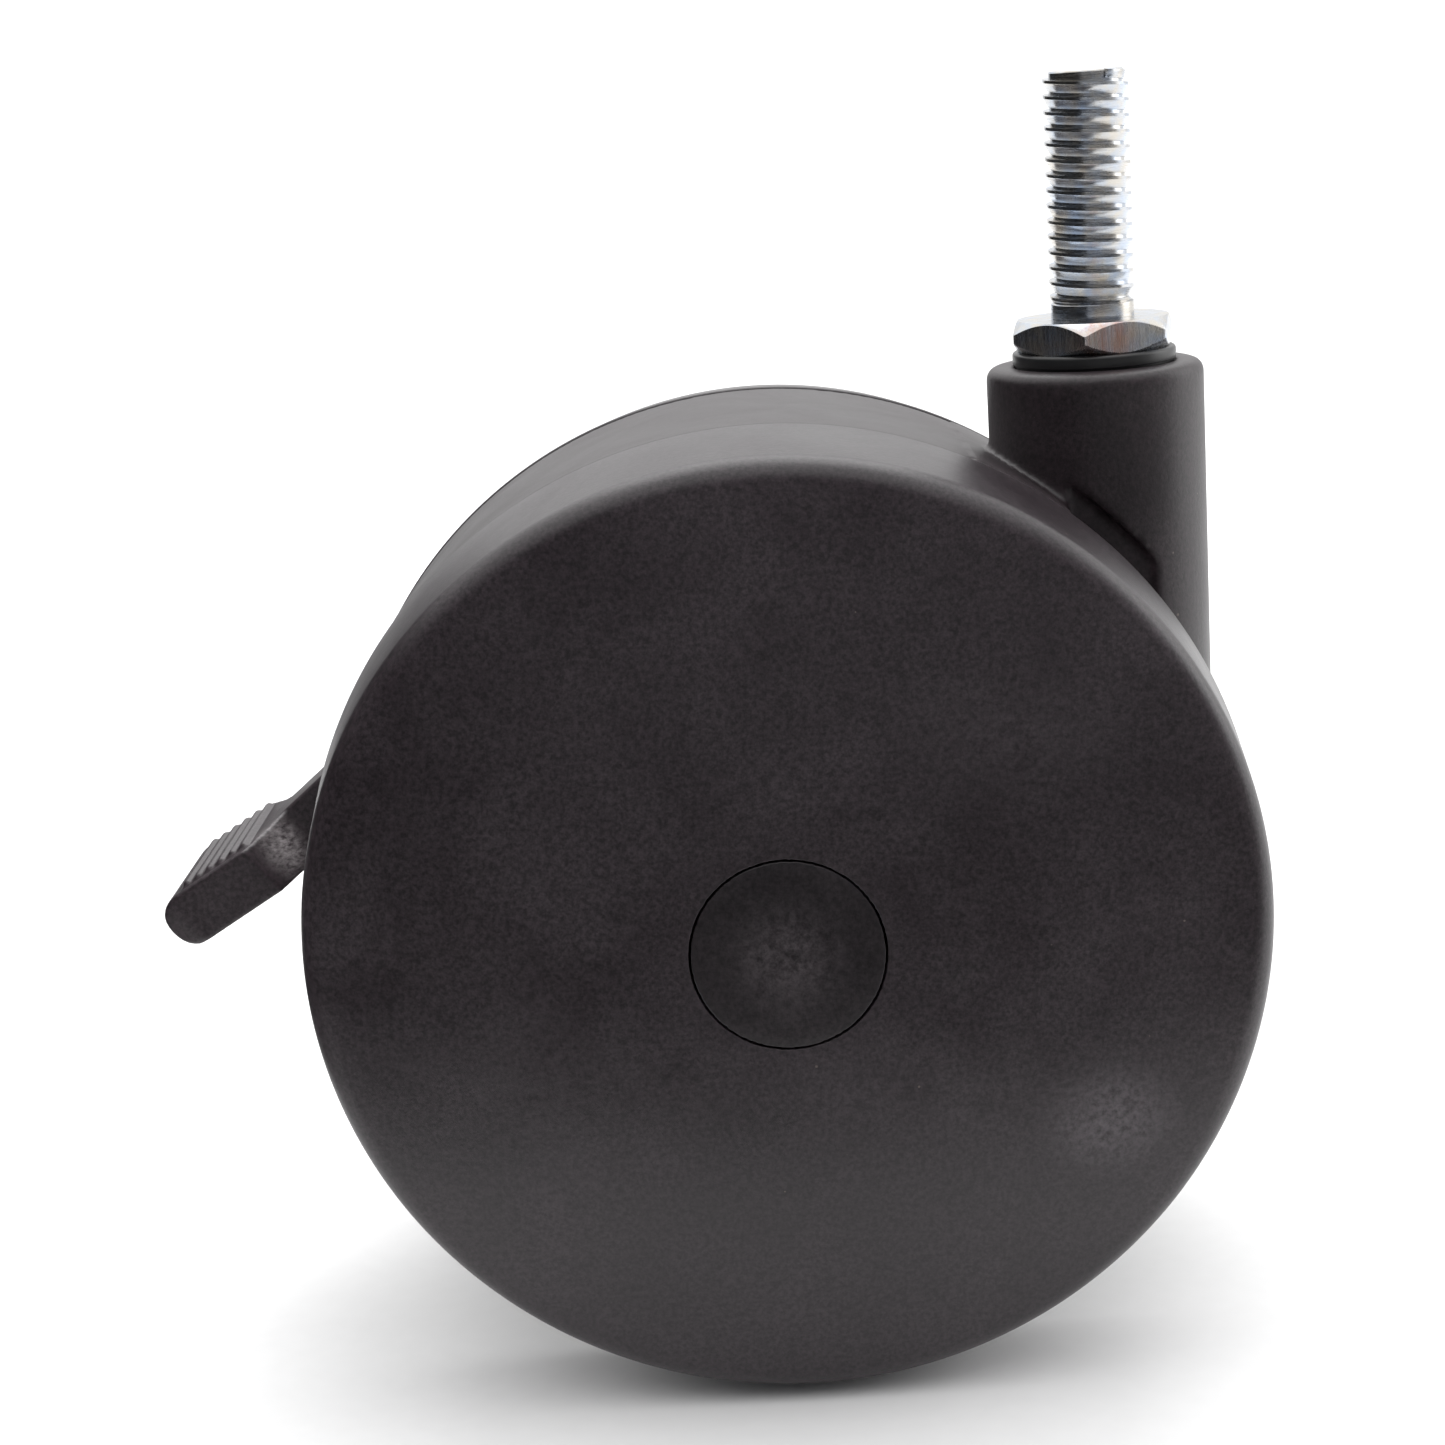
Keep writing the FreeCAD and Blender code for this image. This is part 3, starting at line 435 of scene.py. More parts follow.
def build_finishes() -> dict[Slot, bpy.types.Material]:
    """Build the material of every slot, with the marks that this caster carries.

    Returns:
        Each slot's material.
    """
    makers = {
        Slot.WHEEL: MouldedNylon("wheel_nylon", marks=(
            # Paler patches low on the right, on the upper right and low on the left of the front wheel's
            # face: partly dust, partly painted light where the face is lit more from below and from the
            # right.
            Mark((-4.1, -34.5, -77.2), (10.0, 4.0, 8.0), "#6E686C", 0.6, grain=0.7),
            Mark((-12.0, -35.0, -36.0), (16.0, 4.0, 10.0), "#4A4447", 0.3, grain=0.8),
            Mark((-62.0, -35.0, -70.0), (12.0, 4.0, 16.0), "#453F42", 0.3, grain=0.9),
            # A near-black speck on top of the front wheel's tread: painted shade in a small nick that the
            # shape doesn't have.
            Mark((-28.0, -22.0, -7.4), (1.1, 1.6, 1.2), "#0C0A0B", 1.0, grain=0.5))),
        Slot.CAP: MouldedNylon("cap_nylon", base="#191417", cloud="#221C1F", marks=(
            Mark((-36.3, -35.4, -57.0), (8.0, 3.0, 8.0), "#544D50", 0.55, grain=0.7),)),
        Slot.HOUSING: MouldedNylon("housing_nylon", base="#1E161A", cloud="#292024", roughness=0.44),
        Slot.PEDAL: MouldedNylon("pedal_nylon", base="#2A2226", cloud="#372F33", marks=(
            # A pale streaky patch on the pedal's gusset: partly wear, partly a painted highlight where the
            # gusset faces up and to the front.
            Mark((-89.8, -6.5, -50.5), (4.6, 4.0, 5.2), "#A8A2A3", 0.95, grain=0.9,
                 streak=(1.0, 1.0, 2.2)),)),
        Slot.BUSH: Acetal("black_acetal", body="#1B1B1C", cloud="#242425"),
        Slot.ACETAL: Acetal("natural_acetal"),
        Slot.ZINC: ZincPlate("zinc_plate", marks=(
            # A tan streaky patch on the front flats of the hexagon: a painted reflection of the darker,
            # browner surroundings on the camera's side.
            Mark((0.2, -7.8, -1.7), (4.6, 4.5, 4.5), "#B58672", 1.0, grain=0.9, streak=(1.0, 1.0, 0.12)),
            # A darker brown-grey patch on the front of the stem's neck, just above the hexagon.
            Mark((-1.0, -4.6, 1.3), (4.2, 3.0, 1.5), "#7C6F64", 0.6, grain=1.2))),
        Slot.SPRING: OiledSpringSteel("spring_steel_oiled"),
    }
    return {slot: maker.build() for slot, maker in makers.items()}


# ---------------------------------------------------------------- meshes


def rounded(corners: Sequence[Corner], steps: int = 6) -> list[Point]:
    """Round the corners of a closed outline.

    Args:
        corners: each corner's two places and its radius, in millimetres.
        steps: how many edges each round has.

    Returns:
        The points of the rounded outline.
    """
    points: list[Point] = []
    for index, (u, v, radius) in enumerate(corners):
        here = Vector((u, v))
        before = Vector(corners[index - 1][:2]) - here
        after = Vector(corners[(index + 1) % len(corners)][:2]) - here
        if radius <= 0.0:
            points.append((u, v))
            continue
        half = before.angle(after) / 2.0
        reach = min(radius / math.tan(half), 0.49 * before.length, 0.49 * after.length)
        radius = reach * math.tan(half)
        middle = here + (before.normalized() + after.normalized()).normalized() * (radius / math.sin(half))
        first = here + before.normalized() * reach - middle
        last = here + after.normalized() * reach - middle
        swing = first.angle_signed(last)
        for step in range(steps + 1):
            turned = first.copy()
            turned.rotate(Matrix.Rotation(-swing * step / steps, 2))
            points.append(tuple(middle + turned))
    return points


def mesh_from(name: str, points: Iterable[Vector], faces: Iterable[Sequence[int]]) -> bpy.types.Mesh:
    """A closed mesh with its faces turned outwards.

    Args:
        name: the mesh's name.
        points: its vertices, in metres.
        faces: the vertices of each face.

    Returns:
        The mesh.
    """
    mesh = bpy.data.meshes.new(name)
    mesh.from_pydata([tuple(point) for point in points], [], [tuple(face) for face in faces])
    work = bmesh.new()
    work.from_mesh(mesh)
    bmesh.ops.remove_doubles(work, verts=work.verts, dist=0.0005 * MM)
    bmesh.ops.recalc_face_normals(work, faces=work.faces)
    work.to_mesh(mesh)
    work.free()
    return mesh


def turned_mesh(name: str, outline: Sequence[Point], steps: int = 256,
                edge: Edge | None = None) -> bpy.types.Mesh:
    """Turn a closed outline about Z.

    Args:
        name: the mesh's name.
        outline: radius and height of each point, in millimetres; a radius of 0 is a pole.
        steps: how many flats there are in a full turn.
        edge: gives a point's radius from its radius, height and angle, where the edge isn't true.

    Returns:
        The mesh, in metres, about its own Z axis.
    """
    points = []
    for step in range(steps):
        angle = TURN * step / steps
        for radius, height in outline:
            out = edge(radius, height, angle) if edge else radius
            points.append(Vector((out * math.cos(angle), out * math.sin(angle), height)) * MM)
    count = len(outline)
    faces = []
    for step in range(steps):
        here, there = step * count, (step + 1) % steps * count
        for index in range(count):
            after = (index + 1) % count
            if outline[index][0] > 0.0 or outline[after][0] > 0.0:
                faces.append((here + index, here + after, there + after, there + index))
    return mesh_from(name, points, faces)


def joined(name: str, meshes: Sequence[bpy.types.Mesh]) -> bpy.types.Mesh:
    """Put several meshes in one.

    Args:
        name: the new mesh's name.
        meshes: the meshes, which are removed.

    Returns:
        The mesh that holds them all.
    """
    work = bmesh.new()
    for mesh in meshes:
        work.from_mesh(mesh)
        bpy.data.meshes.remove(mesh)
    whole = bpy.data.meshes.new(name)
    work.to_mesh(whole)
    work.free()
    return whole


def smooth_by_angle(mesh: bpy.types.Mesh, degrees: float = 32.0) -> None:
    """Shade a mesh smooth, apart from the edges that are sharper than an angle."""
    mesh.shade_smooth()
    mesh.set_sharp_from_angle(angle=math.radians(degrees))


def new_object(mesh: bpy.types.Mesh) -> bpy.types.Object:
    """An object of the mesh's name, at the origin, in the scene."""
    made = bpy.data.objects.new(mesh.name, mesh)
    bpy.context.scene.collection.objects.link(made)
    return made


def baked(source: bpy.types.Object, name: str) -> bpy.types.Mesh:
    """Take an object's mesh as its modifiers leave it, and remove the object.

    Args:
        source: the object.
        name: the name of the plain mesh.

    Returns:
        The plain mesh.
    """
    graph = bpy.context.evaluated_depsgraph_get()
    mesh = bpy.data.meshes.new_from_object(source.evaluated_get(graph))
    mesh.name = name
    bpy.data.objects.remove(source)
    return mesh


def cad_copy(node: str) -> bpy.types.Mesh:
    """A merged copy of a CAD node's mesh, ready to be worked on."""
    mesh = frame["nodes"][node].data.copy()
    work = bmesh.new()
    work.from_mesh(mesh)
    bmesh.ops.remove_doubles(work, verts=work.verts, dist=0.001 * MM)
    work.to_mesh(mesh)
    work.free()
    mesh.materials.clear()
    return mesh


def soften(mesh: bpy.types.Mesh, voxel_mm: float, rounds: int,
           keep: Callable[[Vector], float] | None = None, face_share: float = 1.0) -> bpy.types.Mesh:
    """Give a sharp-edged solid the soft edges of a moulding.

    The solid is rebuilt in even small faces and each point is then eased towards its neighbours.

    Args:
        mesh: the solid, which is used up.
        voxel_mm: the size of the faces.
        rounds: how many times the points are eased.
        keep: gives how far a point is left as it was, from 0 to 1.
        face_share: the share of the faces that is kept at the end.

    Returns:
        The softened mesh.
    """
    piece = new_object(mesh)
    remesh = piece.modifiers.new("even_faces", "REMESH")
    remesh.mode = "VOXEL"
    remesh.voxel_size = voxel_mm * MM
    even = baked(piece, mesh.name)
    even.shade_smooth()
    piece = new_object(even)
    ease = piece.modifiers.new("ease", "SMOOTH")
    ease.factor = 0.5
    ease.iterations = rounds
    if keep:
        group = piece.vertex_groups.new(name="eased")
        for vertex in even.vertices:
            group.add([vertex.index], 1.0 - keep(vertex.co), "REPLACE")
        ease.vertex_group = group.name
    if face_share < 1.0:
        fewer = piece.modifiers.new("fewer_faces", "DECIMATE")
        fewer.ratio = face_share
    return baked(piece, mesh.name)


# ---------------------------------------------------------------- geometry-node rules


def new_rule(name: str, sizes: dict[str, float | int]) -> tuple[bpy.types.GeometryNodeTree, bpy.types.Node]:
    """Start a geometry-node tree with a mesh going in and one input for each size.

    Args:
        name: the tree's name.
        sizes: each input's name and value; whole numbers make whole-number inputs.

    Returns:
        The tree and its group input.
    """
    tree = bpy.data.node_groups.new(name, "GeometryNodeTree")
    tree.interface.new_socket("Geometry", in_out="INPUT", socket_type="NodeSocketGeometry")
    tree.interface.new_socket("Material", in_out="INPUT", socket_type="NodeSocketMaterial")
    for label, value in sizes.items():
        kind = "NodeSocketInt" if isinstance(value, int) else "NodeSocketFloat"
        tree.interface.new_socket(label, in_out="INPUT", socket_type=kind)
    tree.interface.new_socket("Geometry", in_out="OUTPUT", socket_type="NodeSocketGeometry")
    return tree, add_node(tree, "NodeGroupInput")


def end_rule(tree: bpy.types.GeometryNodeTree, source: bpy.types.Node, shape: Socket) -> None:
    """Realise what the rule makes, give it its material and lead it out.

    Args:
        tree: the rule's tree.
        source: the tree's group input.
        shape: the geometry that was made.
    """
    real = add_node(tree, "GeometryNodeRealizeInstances", {0: shape})
    dressed = add_node(tree, "GeometryNodeSetMaterial", {"Geometry": real.outputs[0],
                       "Material": source.outputs["Material"]})
    add_node(tree, "NodeGroupOutput", {0: dressed.outputs[0]})


def apply_rule(mesh: bpy.types.Mesh, tree: bpy.types.GeometryNodeTree, sizes: dict[str, float | int],
               material: bpy.types.Material) -> bpy.types.Mesh:
    """Run a rule on a mesh and take the plain mesh that comes out.

    Args:
        mesh: what goes in.
        tree: the rule.
        sizes: the value of each of its inputs.
        material: what the result is dressed in.

    Returns:
        The plain mesh.
    """
    piece = new_object(mesh)
    modifier = piece.modifiers.new(tree.name, "NODES")
    modifier.node_group = tree
    values = {"Material": material, **sizes}
    for item in tree.interface.items_tree:
        if item.in_out == "INPUT" and item.name in values:
            modifier[item.identifier] = values[item.name]
    return baked(piece, mesh.name)


def rib_rule() -> bpy.types.GeometryNodeTree:
    """Rule: equal straight ribs round Z, joined to the mesh that goes in.

    Returns:
        The tree.
    """
    tree, given = new_rule("ribs_round_axis", {"Count": 1, "Inner Radius": 0.0, "Outer Radius": 0.0,
                           "Width": 0.0, "Bottom": 0.0, "Top": 0.0})
    size = given.outputs
    length = sums(tree, "SUBTRACT", size["Outer Radius"], size["Inner Radius"])
    height = sums(tree, "SUBTRACT", size["Top"], size["Bottom"])
    extent = add_node(tree, "ShaderNodeCombineXYZ", {0: length, 1: size["Width"], 2: height})
    block = add_node(tree, "GeometryNodeMeshCube", {"Size": extent.outputs[0]})
    out = sums(tree, "MULTIPLY_ADD", length, 0.5, size["Inner Radius"])
    up = sums(tree, "MULTIPLY_ADD", height, 0.5, size["Bottom"])
    place = add_node(tree, "ShaderNodeCombineXYZ", {0: out, 2: up})
    moved = add_node(tree, "GeometryNodeTransform", {"Geometry": block.outputs["Mesh"],
                     "Translation": place.outputs[0]})
    spots = add_node(tree, "GeometryNodePoints", {"Count": size["Count"]})
    index = add_node(tree, "GeometryNodeInputIndex")
    share = sums(tree, "DIVIDE", index.outputs[0], size["Count"])
    turn = add_node(tree, "ShaderNodeCombineXYZ", {2: sums(tree, "MULTIPLY", share, TURN)})
    ring = add_node(tree, "GeometryNodeInstanceOnPoints", {"Points": spots.outputs[0],
                    "Instance": moved.outputs[0], "Rotation": turn.outputs[0]})
    whole = add_node(tree, "GeometryNodeJoinGeometry", {0: ring.outputs[0]})
    tree.links.new(size["Geometry"], whole.inputs[0])
    end_rule(tree, given, whole.outputs[0])
    return tree


def thread_rule() -> bpy.types.GeometryNodeTree:
    """Rule: the section that goes in, swept up a right-handed helix and trimmed at both ends.

    Points further out than the lead-in cone at the top, or the neck's slope at the bottom, are
    drawn in to it.

    Returns:
        The tree.
    """
    tree, given = new_rule("rolled_thread", {"Turns": 0.0, "Steps": 8, "Start Height": 0.0, "Height": 0.0,
                           "Radius": 0.0, "Cone Top": 0.0, "Neck Bottom": 0.0})
    size = given.outputs
    section = add_node(tree, "GeometryNodeMeshToCurve", {"Mesh": size["Geometry"]})
    helix = add_node(tree, "GeometryNodeCurveSpiral", {"Resolution": size["Steps"],
                     "Rotations": size["Turns"], "Start Radius": size["Radius"],
                     "End Radius": size["Radius"], "Height": size["Height"], "Reverse": False})
    upright = add_node(tree, "GeometryNodeSetCurveNormal", {"Curve": helix.outputs["Curve"]}, mode="Z_UP")
    ridge = add_node(tree, "GeometryNodeCurveToMesh", {"Curve": upright.outputs["Curve"],
                     "Profile Curve": section.outputs["Curve"], "Fill Caps": True})
    lift = add_node(tree, "ShaderNodeCombineXYZ", {2: size["Start Height"]})
    raised = add_node(tree, "GeometryNodeTransform", {"Geometry": ridge.outputs["Mesh"],
                      "Translation": lift.outputs[0]})
    place = add_node(tree, "GeometryNodeInputPosition").outputs[0]
    level = add_node(tree, "ShaderNodeSeparateXYZ", {0: place}).outputs["Z"]
    flat = vectors(tree, "MULTIPLY", place, (1.0, 1.0, 0.0))
    out = vectors(tree, "LENGTH", flat)
    cone = sums(tree, "SUBTRACT", size["Cone Top"], level)
    slope = sums(tree, "ADD", level, size["Neck Bottom"])
    ratio = sums(tree, "DIVIDE", sums(tree, "MINIMUM", cone, slope), out)
    across = scaled(tree, flat, sums(tree, "MINIMUM", ratio, 1.0))
    along = add_node(tree, "ShaderNodeCombineXYZ", {2: level})
    trimmed = add_node(tree, "GeometryNodeSetPosition", {"Geometry": raised.outputs[0],
                       "Position": vectors(tree, "ADD", across, along.outputs[0])})
    end_rule(tree, given, trimmed.outputs[0])
    return tree


# ---------------------------------------------------------------- pieces


def finish_piece(mesh: bpy.types.Mesh, place: Matrix, material: bpy.types.Material, body: str,
                 nodes: Sequence[str]) -> bpy.types.Object:
    """Put a finished mesh in its place, give it its material and body, and hide the CAD nodes that it stands
    for.

    Args:
        mesh: the piece's mesh, about its own axis.
        place: where it goes.
        material: what it is dressed in.
        body: the CAD body that it rides on.
        nodes: the CAD nodes that it stands for.

    Returns:
        The piece.
    """
    mesh.transform(place)
    mesh.materials.clear()
    mesh.materials.append(material)
    piece = new_object(mesh)
    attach(piece, body)
    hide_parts(*nodes)
    LOG.info("%s: %d faces, rides on %s", piece.name, len(mesh.polygons), body)
    return piece


@dataclass(frozen=True)
class Layout:
    """Where the caster's two axes are, read from the CAD frame, in metres."""

    axle: Vector
    floor: float

    @classmethod
    def from_frame(cls) -> "Layout":
        """Read the axle's centre and the floor's height from the frame.

        Returns:
            The layout.
        """
        low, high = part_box("axle")
        wheel_low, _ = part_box("front_wheel")
        return cls(axle=(low + high) / 2.0, floor=wheel_low.z)

    def on_axle(self, side: Side) -> Matrix:
        """The place of a part turned about Z, laid on the axle with its top outwards."""
        return Matrix.Translation(self.axle) @ Matrix.Rotation(-side.value * math.pi / 2.0, 4, "X")


@dataclass
class WheelAssembly:
    """One wheel: domed shell with ribs and brake teeth behind it, and its push-in hub cap.

    Sizes are in millimetres; heights are measured along the axle from the caster's middle plane.
    """

    side: Side
    layout: Layout
    radius: float = 50.0
    front_radius: float = 48.5
    inner_plane: float = 16.1
    edge_plane: float = 31.7
    face_plane: float = 35.39
    edge_round: float = 4.8
    rim_inner: float = 44.6
    rim_floor: float = 28.0
    hub_radius: float = 11.5
    hub_start: float = 16.0
    hub_floor: float = 30.4
    bore_radius: float = 5.5
    pocket_radius: float = 9.84
    pocket_floor: float = 29.0
    cap_radius: float = 9.6
    cap_back: float = 33.0
    cap_skirt: float = 8.0
    cap_end: float = 31.2
    ring_radii: tuple[float, float] = (20.5, 30.5)
    ring_wall: float = 1.7
    ring_start: float = 19.0
    ring_end: float = 30.6
    flats: int = 320
    face_points: int = 12
    crown_points: int = 6
    edge_blend: float = 4.5
    skirt_lead: float = 0.5
    seam_ripple: float = 0.07
    seam_reach: float = 0.2
    pocket_seed: int = 31
    cap_seed: int = 57
    ribs: dict[str, float | int] = field(default_factory=lambda: {
        "Count": 12, "Inner Radius": 10.6 * MM, "Outer Radius": 45.5 * MM, "Width": 1.8 * MM,
        "Bottom": 23.5 * MM, "Top": 30.8 * MM})
    teeth: dict[str, float | int] = field(default_factory=lambda: {
        "Count": 36, "Inner Radius": 41.0 * MM, "Outer Radius": 45.5 * MM, "Width": 2.5 * MM,
        "Bottom": 17.2 * MM, "Top": 29.7 * MM})

    @property
    def dome(self) -> float:
        """Radius of the sphere that the face is part of."""
        rise = self.face_plane - self.edge_plane
        return (self.front_radius ** 2 + rise ** 2) / (2.0 * rise)

    def face_level(self, radius: float) -> float:
        """Height of the domed face at a radius."""
        return self.face_plane - self.dome + math.sqrt(self.dome ** 2 - radius ** 2)

    def ragged(self, seam: float, seed: int) -> Edge:
        """An uneven edge for the seam round the cap, where the parting lines left a little flash.

        Args:
            seam: the radius of the edge, which is drawn in by up to the ripple.
            seed: seed of the random depths.

        Returns:
            The function that gives a point's radius.
        """
        dice = random.Random(seed)
        depths = [dice.random() ** 2 * self.seam_ripple for _ in range(self.flats)]

        def edge(radius: float, height: float, angle: float) -> float:
            """Radius of one point of the outline."""
            at_seam = abs(radius - seam) < self.seam_reach and height > self.cap_back
            depth = depths[round(angle / TURN * self.flats) % self.flats]
            return radius - depth if at_seam else radius

        return edge

    def build_shell(self, rib_tree: bpy.types.GeometryNodeTree,
                    material: bpy.types.Material) -> bpy.types.Mesh:
        """Build the wheel: a turned shell and rings, with ribs and teeth from the rib rule.

        Args:
            rib_tree: the rule for equal ribs round the axis.
            material: what the wheel is moulded in.

        Returns:
            The mesh, about its own axis.
        """
        edge_start = self.front_radius - self.edge_blend
        steps = [edge_start + (self.pocket_radius - edge_start) * step / self.face_points
                 for step in range(self.face_points)]
        face = [(radius, self.face_level(radius), 0.0) for radius in steps]
        outline = rounded([
            (self.bore_radius, self.hub_start, 0.3),
            (self.hub_radius, self.hub_start, 0.4),
            (self.hub_radius, self.hub_floor, 1.0),
            (self.rim_inner, self.rim_floor, 1.2),
            (self.rim_inner, self.inner_plane, 0.3),
            (self.radius, self.inner_plane, 0.35),
            (self.front_radius, self.edge_plane, self.edge_round),
            *face,
            (self.pocket_radius, self.face_level(self.pocket_radius), 0.1),
            (self.pocket_radius, self.pocket_floor, 0.2),
            (self.bore_radius, self.pocket_floor, 0.2),
        ], steps=10)
        shell = turned_mesh("shell", outline, self.flats, self.ragged(self.pocket_radius, self.pocket_seed))
        rings = [turned_mesh("ring", rounded([
            (radius, self.ring_start, 0.3), (radius + self.ring_wall, self.ring_start, 0.3),
            (radius + self.ring_wall, self.ring_end, 0.0), (radius, self.ring_end, 0.0)], steps=3), 160)
            for radius in self.ring_radii]
        whole = joined(f"{self.side.label}_wheel_moulding", [shell, *rings])
        for sizes in (self.ribs, self.teeth):
            whole = apply_rule(whole, rib_tree, sizes, material)
        smooth_by_angle(whole)
        return whole

    def build_cap(self) -> bpy.types.Mesh:
        """Build the hub cap: a disc that carries on the wheel's dome, with a skirt behind.

        Returns:
            The mesh, about its own axis.
        """
        crown = []
        for step in range(1, self.crown_points + 1):
            radius = self.cap_radius * (1.0 - step / self.crown_points)
            crown.append((radius, self.face_level(radius), 0.0))
        outline = rounded([
            (0.0, self.cap_back, 0.0),
            (self.cap_skirt, self.cap_back, 0.2),
            (self.cap_skirt, self.cap_end, 0.1),
            (self.cap_radius - self.skirt_lead, self.cap_end, 0.1),
            (self.cap_radius, self.cap_end + self.skirt_lead, 0.2),
            (self.cap_radius, self.face_level(self.cap_radius), 0.12),
            *crown,
        ], steps=5)
        mesh = turned_mesh(f"{self.side.label}_hub_cap_moulding", outline, self.flats,
                           self.ragged(self.cap_radius, self.cap_seed))
        smooth_by_angle(mesh)
        return mesh

    def dress(self, rib_tree: bpy.types.GeometryNodeTree, shell: bpy.types.Material,
              cap: bpy.types.Material) -> None:
        """Build both pieces and put them on the axle.

        Args:
            rib_tree: the rule for equal ribs round the axis.
            shell: what the wheel is moulded in.
            cap: what the cap is moulded in.
        """
        place = self.layout.on_axle(self.side)
        body = f"{self.side.label}_wheel"
        finish_piece(self.build_shell(rib_tree, shell), place, shell, body, [body])
        finish_piece(self.build_cap(), place, cap, body, [f"{self.side.label}_hub_cap"])


@dataclass
class StemAssembly:
    """The threaded stem with its hexagon and kingpin, and the thrust washer under the hexagon.

    Sizes are in millimetres; heights are measured from the hexagon's top face.
    """

    crest: float = 4.72
    root: float = 3.8
    pitch: float = 1.5875
    length: float = 25.4
    lead_in: float = 0.9
    neck_radius: float = 4.36
    neck_height: float = 1.5
    hex_flat: float = 7.95
    hex_height: float = 3.3
    hex_turn: float = 17.35
    hex_corner: float = 0.5
    chamfer_start: float = 7.9
    chamfer_angle: float = 44.0
    edge_break: float = 0.07
    edge_break_slope: float = 0.8
    side_step: float = 0.45
    inner_ring: float = 0.62
    kingpin: float = 5.5
    kingpin_end: float = -45.4
    washer: float = 8.6
    washer_end: float = -4.65
    steps_per_turn: int = 72

    def build_thread(self, material: bpy.types.Material) -> bpy.types.Mesh:
        """Build the thread's ridge from its section, by the thread rule.

        A rolled crest has a shallow valley along its middle, so the section has two lips.

        Args:
            material: what the stem is made of.

        Returns:
            The mesh of the ridge alone.
        """
        height = self.crest - self.root
        half_foot = 0.4 * self.pitch
        half = [(half_foot, -0.3), (half_foot - 0.02, 0.0), (half_foot - 0.1, 0.06), (0.17, height - 0.13),
                (0.125, height - 0.02), (0.06, height), (0.0, height - 0.07)]
        section = half + [(-across, out) for across, out in reversed(half[:-1])]
        wire = bpy.data.meshes.new("thread_ridge")
        count = len(section)
        wire.from_pydata([(across * MM, out * MM, 0.0) for across, out in section],
                         [(index, (index + 1) % count) for index in range(count)], [])
        tree = thread_rule()
        start = self.neck_height - 0.2
        turns = (self.length - start) / self.pitch
        ridge = apply_rule(wire, tree, {
            "Turns": turns, "Steps": self.steps_per_turn, "Start Height": start * MM,
            "Height": turns * self.pitch * MM, "Radius": self.root * MM,
            "Cone Top": (self.crest - self.lead_in + self.length) * MM,
            "Neck Bottom": (self.neck_radius - self.neck_height) * MM}, material)
        work = bmesh.new()
        work.from_mesh(ridge)
        bmesh.ops.recalc_face_normals(work, faces=work.faces)
        for vertex in work.verts:
            vertex.co.z = min(vertex.co.z, self.length * MM)
        work.to_mesh(ridge)
        work.free()
        return ridge

    def build_core(self) -> bpy.types.Mesh:
        """Build the thread's core with its neck, and the kingpin below the hexagon.

        Returns:
            The two turned meshes as one.
        """
        tip = self.crest - self.lead_in
        core = turned_mesh("core", rounded([
            (0.0, -1.0, 0.0), (self.neck_radius, -1.0, 0.0), (self.neck_radius, self.neck_height, 0.15),
            (self.root, self.neck_height + 0.5, 0.1), (self.root, self.length - 0.2, 0.1),
            (min(tip, self.root) - 0.1, self.length, 0.1), (0.0, self.length, 0.0)], steps=4), 128)
        pin = turned_mesh("kingpin", rounded([
            (0.0, self.kingpin_end, 0.0), (self.kingpin, self.kingpin_end, 0.8),
            (self.kingpin, -1.0, 0.0), (0.0, -1.0, 0.0)], steps=3), 96)
        return joined("core_and_kingpin", [core, pin])

    def build_hexagon(self) -> bpy.types.Mesh:
        """Build the hexagon, whose chamfers leave a curved edge at the top and bottom of each flat.

        Returns:
            The mesh.
        """
        corner_radius = self.hex_flat / math.cos(math.pi / 6.0)
        sides = [math.radians(self.hex_turn) + TURN * index / 6.0 for index in range(6)]
        corners = [(corner_radius * math.cos(angle), corner_radius * math.sin(angle), self.hex_corner)
                   for angle in sides]
        rim: list[Vector] = []
        rough = rounded(corners, steps=5)
        for index, point in enumerate(rough):
            here, after = Vector(point), Vector(rough[(index + 1) % len(rough)])
            pieces = max(1, round((after - here).length / self.side_step))
            rim.extend(here.lerp(after, step / pieces) for step in range(pieces))
        slope = math.tan(math.radians(self.chamfer_angle))
        count = len(rim)
        points: list[Vector] = [Vector((0.0, 0.0, 0.0)), Vector((0.0, 0.0, -self.hex_height))]
        for level, sense in ((0.0, 1.0), (-self.hex_height, -1.0)):
            for share in (self.inner_ring, 1.0):
                for flat in rim:
                    reach = min(flat.length, self.chamfer_start * share)
                    points.append(Vector((*(flat.normalized() * reach), level)))
            for inset in (self.edge_break, 0.0):
                for flat in rim:
                    drop = max(0.0, flat.length - inset - self.chamfer_start) * slope
                    drop += (self.edge_break - inset) * self.edge_break_slope
                    reach = flat.length - inset
                    points.append(Vector((*(flat.normalized() * reach), level - sense * drop)))
        rings = [2 + index * count for index in range(8)]
        order = [*rings[:4], *reversed(rings[4:])]
        faces = []
        for step in range(count):
            after = (step + 1) % count
            faces.append((0, order[0] + step, order[0] + after))
            faces.append((1, order[-1] + after, order[-1] + step))
            for upper, lower in zip(order, order[1:]):
                faces.append((upper + step, lower + step, lower + after, upper + after))
        return mesh_from("hexagon", [point * MM for point in points], faces)

    def build_washer(self) -> bpy.types.Mesh:
        """Build the thrust washer, with its stamped edge rolled on one side.

        Returns:
            The mesh.
        """
        mesh = turned_mesh("thrust_washer_blank", rounded([
            (self.kingpin + 0.02, self.washer_end, 0.1), (self.washer, self.washer_end, 0.12),
            (self.washer, -self.hex_height, 0.4), (self.kingpin + 0.02, -self.hex_height, 0.1)],
            steps=4), 160)
        smooth_by_angle(mesh)
        return mesh

